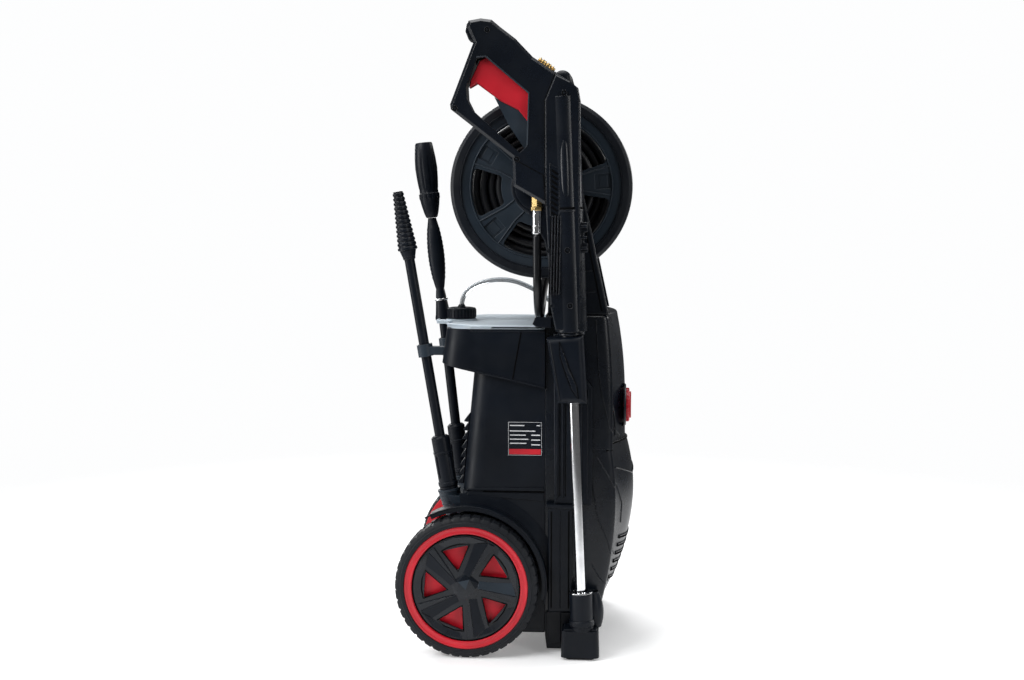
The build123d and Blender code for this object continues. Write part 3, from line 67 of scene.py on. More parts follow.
def new_material(name):
    made = bpy.data.materials.new(name)
    made.use_nodes = True
    return made, made.node_tree.nodes, made.node_tree.links


def noise(nodes, links, place, scale, detail=3.0):
    """Noise over the piece's own coordinates, in features per metre."""
    made = nodes.new("ShaderNodeTexNoise")
    made.inputs["Scale"].default_value = scale
    made.inputs["Detail"].default_value = detail
    links.new(place.outputs["Object"], made.inputs["Vector"])
    return made


def ramp(nodes, links, source, low, high, start=0.35, end=0.65):
    """Blend from low to high as source goes from start to end; low and high are colours or numbers."""
    made = nodes.new("ShaderNodeValToRGB")
    made.color_ramp.elements[0].position = start
    made.color_ramp.elements[1].position = end
    for element, value in zip(made.color_ramp.elements, (low, high)):
        element.color = (*value, 1) if hasattr(value, "__len__") else (value, value, value, 1)
    links.new(source, made.inputs["Fac"])
    return made


def shade(color, factor):
    return tuple(min(1.0, c * factor) for c in color)


def rounded_edges(nodes, radius):
    """The piece's normals with its edges rounded to a radius in metres."""
    rounded = nodes.new("ShaderNodeBevel")
    rounded.samples = 4
    rounded.inputs["Radius"].default_value = radius
    return rounded


def flatness(nodes, links, rounded):
    """1 on flat faces, falling towards 0 on the piece's rounded edges."""
    geometry = nodes.new("ShaderNodeNewGeometry")
    product = nodes.new("ShaderNodeVectorMath")
    product.operation = "DOT_PRODUCT"
    links.new(rounded.outputs["Normal"], product.inputs[0])
    links.new(geometry.outputs["Normal"], product.inputs[1])
    return product.outputs["Value"]


def color_mix(nodes, links, factor, base):
    """Mix from the colour base towards input B, which the caller sets or links."""
    made = nodes.new("ShaderNodeMix")
    made.data_type = "RGBA"
    links.new(factor, made.inputs["Factor"])
    links.new(base, made.inputs["A"])
    return made


def relief(nodes, links, shader, texture, strength, depth, rounded=None):
    """Bump from a noise texture, depth in metres, over rounded edges where they are given."""
    bump = nodes.new("ShaderNodeBump")
    bump.inputs["Strength"].default_value = strength
    bump.inputs["Distance"].default_value = depth
    links.new(texture.outputs["Fac"], bump.inputs["Height"])
    if rounded is not None:
        links.new(rounded.outputs["Normal"], bump.inputs["Normal"])
    links.new(bump.outputs["Normal"], shader.inputs["Normal"])


def moulded(name, color, roughness, grain=1400.0, depth=0.00006, specular=0.4, edge_wear_and_highlight=1.9, second=None,
            second_mask=None):
    """Moulded plastic or rubber: fine grain, cloudy tone and roughness, and edges painted a little lighter,
    partly as rubbed wear and partly as a painted highlight.

    second is another colour, shown where second_mask gives 1.
    """
    made, nodes, links = new_material(name)
    shader = nodes["Principled BSDF"]
    shader.inputs["Specular IOR Level"].default_value = specular
    place = nodes.new("ShaderNodeTexCoord")
    clouds = noise(nodes, links, place, 9.0)
    tone = ramp(nodes, links, clouds.outputs["Fac"], shade(color, 0.8), shade(color, 1.25))
    base = tone.outputs["Color"]
    if second is not None:
        other = ramp(nodes, links, clouds.outputs["Fac"], shade(second, 0.8), shade(second, 1.25))
        pick = color_mix(nodes, links, second_mask(nodes, links, place), base)
        links.new(other.outputs["Color"], pick.inputs["B"])
        base = pick.outputs["Result"]
    rounded = rounded_edges(nodes, EDGE_WIDTH)
    # Painted highlight and wear: rounded edges are tinted lighter, broken up by noise, standing partly for
    # rubbed wear and partly for edge highlights.
    edge_wear_and_highlight_mask = ramp(nodes, links, flatness(nodes, links, rounded), 1.0, 0.0, 0.86, 0.995)
    scuffs = noise(nodes, links, place, 160.0, 6.0)
    patchy = ramp(nodes, links, scuffs.outputs["Fac"], 0.15, 1.0, 0.4, 0.65)
    amount = nodes.new("ShaderNodeMath")
    amount.operation = "MULTIPLY"
    links.new(edge_wear_and_highlight_mask.outputs["Color"], amount.inputs[0])
    links.new(patchy.outputs["Color"], amount.inputs[1])
    edge_wear_and_highlight_mix = color_mix(nodes, links, amount.outputs["Value"], base)
    edge_wear_and_highlight_mix.inputs["B"].default_value = (*(min(1.0, c * edge_wear_and_highlight + 0.012) for c in color), 1)
    links.new(edge_wear_and_highlight_mix.outputs["Result"], shader.inputs["Base Color"])
    gloss = noise(nodes, links, place, 38.0, 5.0)
    rough = ramp(nodes, links, gloss.outputs["Fac"], roughness * 0.86, min(1.0, roughness * 1.16))
    links.new(rough.outputs["Color"], shader.inputs["Roughness"])
    fine = noise(nodes, links, place, grain, 2.0)
    relief(nodes, links, shader, fine, 0.6, depth, rounded)
    return made


def metal(name, color, roughness, brush=0.0, tarnish=None, anisotropy=0.0):
    """Bare or plated metal with faint smears, and brushed lines where brush gives their count per metre."""
    made, nodes, links = new_material(name)
    shader = nodes["Principled BSDF"]
    shader.inputs["Metallic"].default_value = 1.0
    shader.inputs["Anisotropic"].default_value = anisotropy
    place = nodes.new("ShaderNodeTexCoord")
    smears = noise(nodes, links, place, 45.0, 6.0)
    tone = ramp(nodes, links, smears.outputs["Fac"], tarnish or shade(color, 0.78), color, 0.3, 0.6)
    links.new(tone.outputs["Color"], shader.inputs["Base Color"])
    rough = ramp(nodes, links, smears.outputs["Fac"], min(1.0, roughness * 1.9), roughness, 0.3, 0.62)
    links.new(rough.outputs["Color"], shader.inputs["Roughness"])
    lines = noise(nodes, links, place, brush or 900.0, 2.0)
    relief(nodes, links, shader, lines, 0.25, 0.00004, rounded_edges(nodes, METAL_EDGE_WIDTH))
    return made


def see_through(name, color, roughness, transmission, density_tone):
    """Cloudy or clear plastic that lets light through, with a slightly waxy, uneven skin."""
    made, nodes, links = new_material(name)
    shader = nodes["Principled BSDF"]
    shader.inputs["Transmission Weight"].default_value = transmission
    shader.inputs["IOR"].default_value = PLASTIC_IOR
    place = nodes.new("ShaderNodeTexCoord")
    clouds = noise(nodes, links, place, 14.0, 4.0)
    tone = ramp(nodes, links, clouds.outputs["Fac"], density_tone, color)
    links.new(tone.outputs["Color"], shader.inputs["Base Color"])
    rough = ramp(nodes, links, clouds.outputs["Fac"], roughness * 0.7, min(1.0, roughness * 1.3))
    links.new(rough.outputs["Color"], shader.inputs["Roughness"])
    ripple = noise(nodes, links, place, 220.0, 2.0)
    relief(nodes, links, shader, ripple, 0.3, 0.0001)
    return made


REEL_Y = -39.5
REEL_Z = 676.0
RIM_BAND_RADIUS = 117.0


def rim_band_mask(nodes, links, place):
    """1 outside the reel flange's rim-band radius about the reel's axis."""
    parts = nodes.new("ShaderNodeSeparateXYZ")
    links.new(place.outputs["Object"], parts.inputs["Vector"])
    flat = nodes.new("ShaderNodeCombineXYZ")
    links.new(parts.outputs["Y"], flat.inputs["Y"])
    links.new(parts.outputs["Z"], flat.inputs["Z"])
    reach = nodes.new("ShaderNodeVectorMath")
    reach.operation = "DISTANCE"
    reach.inputs[1].default_value = (0, REEL_Y * MM, REEL_Z * MM)
    links.new(flat.outputs["Vector"], reach.inputs[0])
    beyond = nodes.new("ShaderNodeMath")
    beyond.operation = "GREATER_THAN"
    beyond.inputs[1].default_value = RIM_BAND_RADIUS * MM
    links.new(reach.outputs["Value"], beyond.inputs[0])
    return beyond.outputs["Value"]


BLACK = (0.0028, 0.0046, 0.0082)
GLOSS_BLACK = (0.0026, 0.0044, 0.0080)
GREY = (0.013, 0.021, 0.031)
RED = (0.44, 0.010, 0.020)
RIM_RED = (0.66, 0.010, 0.026)

MATERIALS = {
    "black_plastic": moulded("black_plastic", BLACK, 0.40, edge_wear_and_highlight=1.8, specular=0.18),
    "cover_plastic": moulded("cover_plastic", GLOSS_BLACK, 0.28, grain=2200, depth=0.00003, edge_wear_and_highlight=1.8,
                             specular=0.34),
    "grey_plastic": moulded("grey_plastic", GREY, 0.46, specular=0.32, edge_wear_and_highlight=1.6),
    "red_plastic": moulded("red_plastic", RED, 0.36, grain=1800, depth=0.00004, edge_wear_and_highlight=1.15),
    "tank_plastic": see_through("tank_plastic", (0.62, 0.70, 0.76), 0.42, 0.35, (0.50, 0.58, 0.65)),
    "tyre_rubber": moulded("tyre_rubber", (0.0045, 0.0058, 0.0085), 0.56, grain=900, depth=0.00018,
                           specular=0.24, edge_wear_and_highlight=2.2),
    "foot_rubber": moulded("foot_rubber", (0.02, 0.02, 0.02), 0.8, grain=700, depth=0.0002, specular=0.2),
    "hose_rubber": moulded("hose_rubber", (0.0045, 0.0050, 0.0068), 0.36, grain=800, depth=0.0001,
                           specular=0.36),
    "chrome": metal("chrome", (0.82, 0.83, 0.85), 0.09),
    "steel": metal("steel", (0.48, 0.48, 0.50), 0.34, brush=2600, anisotropy=0.4),
    "brass": metal("brass", (0.80, 0.58, 0.25), 0.2, tarnish=(0.52, 0.33, 0.12)),
    "clear_tube": see_through("clear_tube", (0.86, 0.89, 0.91), 0.12, 0.75, (0.78, 0.82, 0.86)),
    "motor_alloy": metal("motor_alloy", (0.5, 0.51, 0.53), 0.45, brush=700),
}
# Painted shade: a near-black material for the lines, slots, seams and wells where grooves and recesses fall
# into shade.
GROOVE_SHADE = moulded("groove_shadow", (0.0012, 0.0013, 0.0016), 0.85, specular=0.05, edge_wear_and_highlight=1.0)
REEL_FACE = moulded("reel_face", GREY, 0.44, specular=0.32, edge_wear_and_highlight=1.6, second=BLACK,
                    second_mask=rim_band_mask)
RIM_FACE = moulded("rim_face", RIM_RED, 0.4, grain=1800, depth=0.00004, edge_wear_and_highlight=1.1, specular=0.3)

for entry in frame["record"]["subparts"]:
    node = frame["nodes"][entry["node"]]
    chosen = MATERIALS[entry["material_slot"]]
    if entry["node"].startswith("reel_flange"):
        chosen = REEL_FACE
    if entry["node"].startswith("rim_"):
        chosen = RIM_FACE
    node.data.materials.clear()
    node.data.materials.append(chosen)
    node.data.shade_smooth()
    node.data.set_sharp_from_angle(angle=radians(28))


# ---- Mesh helpers ----
def metres(point):
    return Vector(point) * MM


def linked(name, data):
    """A new object of the data, linked to the scene."""
    made = bpy.data.objects.new(name, data)
    scene.collection.objects.link(made)
    return made


def add_piece(name, vertices, faces, body, slot, material=None, bevel=0.0, sharp=35.0):
    """A mesh piece that rides on a body; vertices are in millimetres."""
    mesh = bpy.data.meshes.new(name)
    mesh.from_pydata([metres(v) for v in vertices], [], faces)
    mesh.validate()
    mesh.materials.append(material or MATERIALS[slot])
    mesh.shade_smooth()
    mesh.set_sharp_from_angle(angle=radians(sharp))
    piece = linked(name, mesh)
    if bevel:
        rounding = piece.modifiers.new("rounding", "BEVEL")
        rounding.width = bevel * MM
        rounding.segments = 3
        rounding.limit_method = "ANGLE"
        rounding.angle_limit = radians(35)
        rounding.harden_normals = True
    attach(piece, body)
    return piece


def plate(name, outline, x, depth, body, slot, material=None, bevel=0.8, shrink=0.0):
    """A flat piece, depth thick along X from its outline in (Y, Z) at x, its far face smaller by shrink."""
    count = len(outline)
    middle_y = sum(p[0] for p in outline) / count
    middle_z = sum(p[1] for p in outline) / count
    vertices = [(x, y, z) for y, z in outline]
    for y, z in outline:
        reach = max(1e-6, hypot(y - middle_y, z - middle_z))
        keep = 1 - shrink / reach
        vertices.append((x + depth, middle_y + (y - middle_y) * keep, middle_z + (z - middle_z) * keep))
    faces = [tuple(range(count)), tuple(range(2 * count - 1, count - 1, -1))]
    for i in range(count):
        ahead = (i + 1) % count
        faces.append((i, i + count, ahead + count, ahead))
    return add_piece(name, vertices, faces, body, slot, material, bevel)


def lathe(name, profile, foot, axis, body, slot, material=None, segments=64, sharp=30.0, ripple=None):
    """A turned piece: profile is (distance along axis, radius) from foot; ripple(angle, along) scales it.

    A profile that stays off the axis at both ends is closed into a ring.
    """
    along = Vector(axis).normalized()
    across = along.orthogonal().normalized()
    up = along.cross(across)
    start = Vector(foot)
    vertices, faces = [], []
    for distance, radius in profile:
        for s in range(segments):
            angle = 2 * pi * s / segments
            reach = radius * (ripple(angle, distance) if ripple else 1.0)
            vertices.append(start + along * distance + reach * (cos(angle) * across + sin(angle) * up))
    rings = len(profile)
    for ring in range(rings - 1):
        for s in range(segments):
            ahead = (s + 1) % segments
            here, beyond = ring * segments, (ring + 1) * segments
            faces.append((here + s, here + ahead, beyond + ahead, beyond + s))
    if profile[0][1] > 0.01 and profile[-1][1] > 0.01:
        for s in range(segments):
            ahead = (s + 1) % segments
            beyond = (rings - 1) * segments
            faces.append((beyond + s, beyond + ahead, ahead, s))
    return add_piece(name, vertices, faces, body, slot, material, sharp=sharp)


def swept(points, radius, sides=10):
    """Vertices and faces of a round tube along points, all in the same unit."""
    path = [Vector(p) for p in points]
    vertices, faces = [], []
    across = (path[1] - path[0]).orthogonal().normalized()
    for i, point in enumerate(path):
        ahead = (path[min(i + 1, len(path) - 1)] - path[max(i - 1, 0)]).normalized()
        across = (across - ahead * across.dot(ahead)).normalized()
        up = ahead.cross(across)
        for s in range(sides):
            angle = 2 * pi * s / sides
            vertices.append(point + radius * (cos(angle) * across + sin(angle) * up))
    for i in range(len(path) - 1):
        for s in range(sides):
            ahead = (s + 1) % sides
            faces.append((i * sides + s, i * sides + ahead, (i + 1) * sides + ahead, (i + 1) * sides + s))
    faces.append(tuple(range(sides))[::-1])
    last = (len(path) - 1) * sides
    faces.append(tuple(range(last, last + sides)))
    return vertices, faces


def bead(name, points, radius, body, slot, material=None, sides=8):
    """A thin round ridge, or a dark line of painted shade for a groove, along points."""
    vertices, faces = swept(points, radius, sides)
    return add_piece(name, vertices, faces, body, slot, material, sharp=60)


surfaces = {}


def touch(node, point, direction):
    """Where a ray from point in direction first meets a CAD node, in millimetres, or None."""
    if node not in surfaces:
        mesh = frame["nodes"][node].data
        surfaces[node] = BVHTree.FromPolygons([v.co.copy() for v in mesh.vertices],
                                              [tuple(p.vertices) for p in mesh.polygons])
    hit = surfaces[node].ray_cast(metres(point), Vector(direction).normalized())
    return None if hit[0] is None else hit[0] / MM


# ---- Camera and free cords ----
camera_data = bpy.data.cameras.new("camera")
camera_data.sensor_width = 36
camera_data.lens = 48.0
camera = linked("camera", camera_data)
camera.location = (-2.070, -0.141, 0.630)
view_line = Vector((-0.170, -0.0037, 0.4606)) - camera.location
camera.rotation_euler = view_line.to_track_quat("-Z", "Y").to_euler()
scene.camera = camera

PRESSURE_HOSE_ROUTE = (
    (-150, -37.5, 608), (-150, -37.5, 571), (-149, -38, 533), (-125, -38, 498), (-84, -38.5, 485),
    (-43, -39, 498), (-19, -41, 532), (-17, -48, 556), (-16.5, -66, 578), (-16, -90, 592),
)
FEED_TUBE_ROUTE = (
    (-5, 85, 495), (-5, 85, 513), (-5, 65, 530), (-4.5, 38, 538), (-4.5, 8, 537.5),
    (-5, -19, 527), (-5, -43, 513), (-5, -60, 496),
)


def nurbs(name, points):
    """A curve object of one open spline whose control points are the route's, with no thickness yet."""
    curve = bpy.data.curves.new(name, "CURVE")
    curve.dimensions = "3D"
    curve.resolution_u = 16
    spline = curve.splines.new("NURBS")
    spline.points.add(len(points) - 1)
    for knot, point in zip(spline.points, points):
        knot.co = (*metres(point), 1)
    spline.order_u = 3
    spline.use_endpoint_u = True
    return linked(name, curve)


feed_tube = nurbs("feed_tube_clear", FEED_TUBE_ROUTE)
feed_tube.data.bevel_depth = 3.5 * MM
feed_tube.data.bevel_resolution = 6
feed_tube.data.use_fill_caps = True
feed_tube.data.materials.append(MATERIALS["clear_tube"])
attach(feed_tube, "machine")
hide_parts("feed_tube")

hose_line = nurbs("hose_line", PRESSURE_HOSE_ROUTE)
bpy.context.view_layer.update()
line_mesh = bpy.data.meshes.new_from_object(hose_line.evaluated_get(bpy.context.evaluated_depsgraph_get()))
hose_points = [v.co.copy() for v in line_mesh.vertices]
bpy.data.objects.remove(hose_line)
hose_vertices, hose_faces = swept([p / MM for p in hose_points], 6.0, 16)
hose_mesh = bpy.data.meshes.new("pressure_hose_free")
hose_mesh.from_pydata([metres(v) for v in hose_vertices], [], hose_faces)
hose_mesh.materials.append(MATERIALS["hose_rubber"])
hose_mesh.shade_smooth()
pressure_hose = linked("pressure_hose_free", hose_mesh)
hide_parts("pressure_hose")
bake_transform(pressure_hose)

# ---- Light, floor and background ----
world = bpy.data.worlds.new("studio")
scene.world = world
world.use_nodes = True
world_nodes, world_links = world.node_tree.nodes, world.node_tree.links
backdrop = world_nodes["Background"]
backdrop.inputs["Color"].default_value = (1, 1, 1, 1)
backdrop.inputs["Strength"].default_value = 0.10
seen = world_nodes.new("ShaderNodeBackground")
seen.inputs["Color"].default_value = (0.985, 0.988, 0.992, 1)
path_kind = world_nodes.new("ShaderNodeLightPath")
pick_world = world_nodes.new("ShaderNodeMixShader")
world_links.new(path_kind.outputs["Is Camera Ray"], pick_world.inputs["Fac"])
world_links.new(backdrop.outputs["Background"], pick_world.inputs[1])
world_links.new(seen.outputs["Background"], pick_world.inputs[2])
world_links.new(pick_world.outputs["Shader"], world_nodes["World Output"].inputs["Surface"])


def soft_light(name, place, aim, power, width, height):
    data = bpy.data.lights.new(name, "AREA")
    data.energy = power
    data.shape = "RECTANGLE"
    data.size = width
    data.size_y = height
    lamp = linked(name, data)
    lamp.location = place
    lamp.rotation_euler = (Vector(aim) - Vector(place)).to_track_quat("-Z", "Y").to_euler()


soft_light("key", (-1.7, 1.7, 2.3), (0, 0, 0.45), 62, 1.3, 1.3)
soft_light("fill", (-1.9, -2.1, 1.3), (0, 0, 0.45), 22, 0.6, 2.0)
soft_light("top", (0.1, 0.1, 2.6), (0, 0, 0.4), 40, 1.6, 1.6)
soft_light("back", (2.2, 1.2, 1.7), (0, 0, 0.5), 50, 1.2, 1.6)
soft_light("front", (1.2, -2.2, 1.5), (0, 0, 0.45), 34, 1.2, 1.4)
soft_light("rear_strip", (-0.7, 2.4, 0.7), (0, 0, 0.45), 30, 0.9, 1.8)

FLOOR_RADIUS = 2.4
FLOOR_SIDES = 96
floor_vertices = [(0, 0, 0)]
floor_faces = []
for s in range(FLOOR_SIDES):
    angle = 2 * pi * s / FLOOR_SIDES
    floor_vertices.append((FLOOR_RADIUS * cos(angle), FLOOR_RADIUS * sin(angle), 0))
    floor_faces.append((0, s + 1, (s + 1) % FLOOR_SIDES + 1))
floor_mesh = bpy.data.meshes.new("floor")
floor_mesh.from_pydata(floor_vertices, [], floor_faces)
floor = linked("floor", floor_mesh)
floor_material, nodes, links = new_material("pale_floor")
floor_shader = nodes["Principled BSDF"]
floor_shader.inputs["Base Color"].default_value = (0.86, 0.865, 0.87, 1)
floor_shader.inputs["Roughness"].default_value = 0.6
floor_shader.inputs["Specular IOR Level"].default_value = 0.2
floor_shader.inputs["Emission Color"].default_value = (1, 1, 1, 1)
floor_shader.inputs["Emission Strength"].default_value = 0.2
floor_place = nodes.new("ShaderNodeTexCoord")
floor_reach = nodes.new("ShaderNodeVectorMath")
floor_reach.operation = "LENGTH"
links.new(floor_place.outputs["Object"], floor_reach.inputs[0])
floor_fade = nodes.new("ShaderNodeMapRange")
floor_fade.interpolation_type = "SMOOTHSTEP"
floor_fade.inputs["From Min"].default_value = 0.45
floor_fade.inputs["From Max"].default_value = 1.7
floor_fade.inputs["To Min"].default_value = 1.0
floor_fade.inputs["To Max"].default_value = 0.0
links.new(floor_reach.outputs["Value"], floor_fade.inputs["Value"])
links.new(floor_fade.outputs["Result"], floor_shader.inputs["Alpha"])
floor_mesh.materials.append(floor_material)
scene.view_settings.view_transform = "Standard"

# ---- Spray gun ----
GUN_X = -150
LANCE_LEAN = 0.0391
LANCE_AXIS = (0, LANCE_LEAN, 1)


def lance_y(z):
    """Y of the gun lance's line at height z."""
    return -73.5 - (799 - z) * LANCE_LEAN


def screw_well(name, x, y, z, radius):
    """A sunk screw in the gun, facing -X: a rounded lip round a well painted dark as shade, with a plain head
    in it.
    """
    for part, profile, slot, material, segments in (
            ("lip", ((-0.4, radius + 1.1), (0.25, radius + 0.9), (0.4, radius + 0.35), (0.1, radius)),
             "cover_plastic", None, 28),
            ("well", ((-0.5, radius), (0.12, radius), (0.12, 0.0)), "cover_plastic", GROOVE_SHADE, 28),
            ("head", ((0.0, radius * 0.55), (0.22, radius * 0.5), (0.22, 0.0)), "steel",
             MATERIALS["black_plastic"], 20)):
        lathe(f"{name}_{part}", profile, (x, y, z), (-1, 0, 0), "gun", slot, material, segments=segments)


GRIP_SCREWS = ((31, 889), (76, 782), (-10, 712))
for number, (y, z) in enumerate(GRIP_SCREWS):
    for side, label in SIDES:
        screw_well(f"gun_screw_{number}_{label}", GUN_X + side * 18.3, y, z, 3.2)
BARREL_SCREWS = ((-76, 802), (-79, 677), (-81, 586), (-85, 509))
for number, (y, z) in enumerate(BARREL_SCREWS):
    screw_well(f"barrel_screw_{number}", GUN_X - 22.9, y, z, 3.3)
for number, (y, z) in enumerate(((-55, 585), (-60, 509))):
    screw_well(f"barrel_rear_screw_{number}", GUN_X - 19.8, y, z, 2.2)

VENT_FRAME = ((-56, 706), (-69, 698), (-69.5, 628), (-57, 634), (-56, 706))
for side, label in SIDES:
    face = GUN_X + side * 20.1
    grip_face = GUN_X + side * 18.2
    bead(f"gun_parting_{label}", ((face, -50, 646), (face, -48.6, 720), (face, -48.6, 794)), 0.55, "gun",
         "cover_plastic", GROOVE_SHADE)
    bead(f"gun_collar_{label}", ((grip_face, -49.5, 795), (grip_face, -63, 829)), 0.7, "gun", "cover_plastic",
         GROOVE_SHADE)
    bead(f"gun_lower_line_{label}", ((grip_face, -6, 712), (grip_face, -47, 690), (grip_face, -50, 651)), 0.6,
         "gun", "cover_plastic", GROOVE_SHADE)
    for rib in range(4):
        y = -60 - rib * 4.0
        ridge = [(face + side * 0.6, y + (z - 634) * -0.02, z) for z in (634, 600, 560, 524)]
        bead(f"barrel_rib_{label}_{rib}", ridge, 1.1, "gun", "cover_plastic")
        hollow = [(face - side * 0.2, y + 2 + (z - 634) * -0.02, z) for z in (632, 600, 560, 526)]
        bead(f"barrel_rib_gap_{label}_{rib}", hollow, 0.9, "gun", "cover_plastic", GROOVE_SHADE)
    for slot_row in range(9):
        z = 697 - slot_row * 7.3
        bead(f"gun_vent_{label}_{slot_row}", ((face, -58.5, z), (face, -66.5, z - 5.5)), 1.5, "gun",
             "cover_plastic", GROOVE_SHADE)
    bead(f"gun_vent_frame_{label}", [(face, *p) for p in VENT_FRAME], 0.8, "gun", "cover_plastic")

BOSS_STEPS = 12
boss_profile = []
for step in range(BOSS_STEPS + 1):
    share = step / BOSS_STEPS
    boss_profile.append((-100 + 200 * share * 0.56, 8.2 * max(0.0, sin(pi * share)) ** 0.35))
lathe("barrel_boss", boss_profile, (GUN_X - 16.4, lance_y(742), 742), LANCE_AXIS, "gun", "cover_plastic",
      segments=40)
for name, z, profile, material in (
        ("ring_groove", 644, ((-1.6, 22.0), (-1.6, 23.0), (1.6, 23.0), (1.6, 22.0)), GROOVE_SHADE),
        ("ring_lip", 644, ((-5, 22.8), (-4, 23.4), (-2.2, 23.4), (-1.6, 22.9)), None),
        ("mouth_band", 466, ((0, 17.2), (1, 19.0), (7, 19.3), (9, 21.6), (11, 22.2)), None)):
    lathe(f"barrel_{name}", profile, (GUN_X, lance_y(z), z), LANCE_AXIS, "gun", "cover_plastic", material,
          segments=56)

CLIP_BLOCK = ((-94, 583), (-109, 583), (-109, 595), (-103.5, 597), (-103.5, 610), (-109, 612), (-109, 625),
              (-94, 625))
plate("barrel_clip_block", CLIP_BLOCK, -141, -20, "gun", "cover_plastic", bevel=1.2)
for number, z in enumerate((589, 604, 619)):
    plate(f"barrel_clip_rib_{number}", ((-91, z - 2), (-108, z - 2), (-108, z + 2), (-91, z + 2)), -160, -5,
          "gun", "cover_plastic", bevel=0.9)

TRIGGER_EDGE = ((45.5, 852), (33, 853), (-26.8, 802.8), (-24.8, 731))
for side, label in SIDES:
    bead(f"trigger_edge_{label}", [(GUN_X + side * 17.8, *p) for p in TRIGGER_EDGE], 1.2, "gun",
         "grey_plastic")
for step in range(7):
    y = -20 + step * 9.5
    z = 783 + step * 6.2
    bead(f"trigger_grip_{step}", ((-158, y, z), (-154, y + 0.6, z - 1.4), (-146, y + 0.6, z - 1.4),
                                  (-142, y, z)), 1.2, "trigger", "red_plastic")

GUN_TIP = ((60, 899), (62, 888), (57, 876), (51, 874), (49, 897), (54, 903))
plate("gun_tail_catch", GUN_TIP, -162, 24, "gun", "cover_plastic", bevel=2.0)
lathe("gun_shoulder_bump", ((0, 8.5), (2, 8), (5, 6.6), (7, 3.6), (7.6, 0.0)), (-150, -60, 826),
      (0, -0.45, 1), "gun", "cover_plastic", segments=40)
COUPLER_Y, COUPLER_Z = 0.816, 0.578
for step in range(6):
    along = 1 + step * 4.2
    lathe(f"coupler_knurl_{step}", ((0, 5.2), (0.6, 6.7), (1.4, 6.7), (2.0, 5.2)),
          (-125.8, -37 - along * COUPLER_Y, 851 - along * COUPLER_Z), (0, -COUPLER_Y, -COUPLER_Z), "gun",
          "brass", segments=36)

lathe("inlet_nut_collar", ((0, 8.6), (2, 9.0), (5, 9.0), (6, 8.0)), (GUN_X, -37.5, 641), (0, 0, 1), "gun",
      "brass", segments=6)
FERRULE_PROFILE = ((0, 6.6), (1.2, 7.6), (3, 7.8), (4.5, 7.2), (8, 7.0), (9.5, 7.7), (11.5, 7.7), (13, 7.0),
                   (22, 6.8), (24, 7.6), (28, 7.6), (30, 7.0))
lathe("ferrule_beads", FERRULE_PROFILE, (GUN_X, -37.5, 608), (0, 0, 1), "gun", "chrome", segments=40)
plate("hose_guide", ((-34, 490), (-58, 490), (-58, 474.5), (-36, 476), (-30, 480)), -126, -9, "machine",
      "black_plastic", bevel=1.5)

# ---- Hose reel and its winding ----
HOSE_RADIUS = 6.0
WINDING_HALF = 67.0
TURNS = 11
STEPS_A_TURN = 40
WINDING_END = 239.1
layers = ((62.2, WINDING_HALF, TURNS), (73.6, WINDING_HALF, TURNS), (85.4, WINDING_HALF, TURNS),
          (96.8, -16.0, 4.2))
winding_vertices, winding_faces = [], []
for number, (radius, end_x, turns) in enumerate(layers):
    points = []
    steps = int(turns * STEPS_A_TURN)
    forward = number % 2 == 0 or number == 3
    for step in range(steps + 1):
        share = step / steps
        angle = radians(WINDING_END) - 2 * pi * (1 - share) * turns
        x = -WINDING_HALF + (end_x + WINDING_HALF) * (share if forward else 1 - share)
        wobble = 0.35 * sin(angle * 3.1 + number)
        points.append((x, REEL_Y + (radius + wobble) * cos(angle), REEL_Z + (radius + wobble) * sin(angle)))
    vertices, faces = swept(points, HOSE_RADIUS - 0.15, 10)
    start = len(winding_vertices)
    winding_vertices.extend(vertices)
    winding_faces.extend(tuple(v + start for v in face) for face in faces)
winding = add_piece("hose_winding", winding_vertices, winding_faces, "reel", "hose_rubber", sharp=70)
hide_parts("wound_hose")

ARM_LINES = (((-129, 498), (-113, 575), (-107, 605), (-93, 668)), ((-61, 500), (-63, 560), (-56, 598)))


def spoke_point(along, reach, aside):
    """(Y, Z) at a reach along a spoke's direction and a distance to its side."""
    return (REEL_Y + reach * along[0] - aside * along[1], REEL_Z + reach * along[1] + aside * along[0])


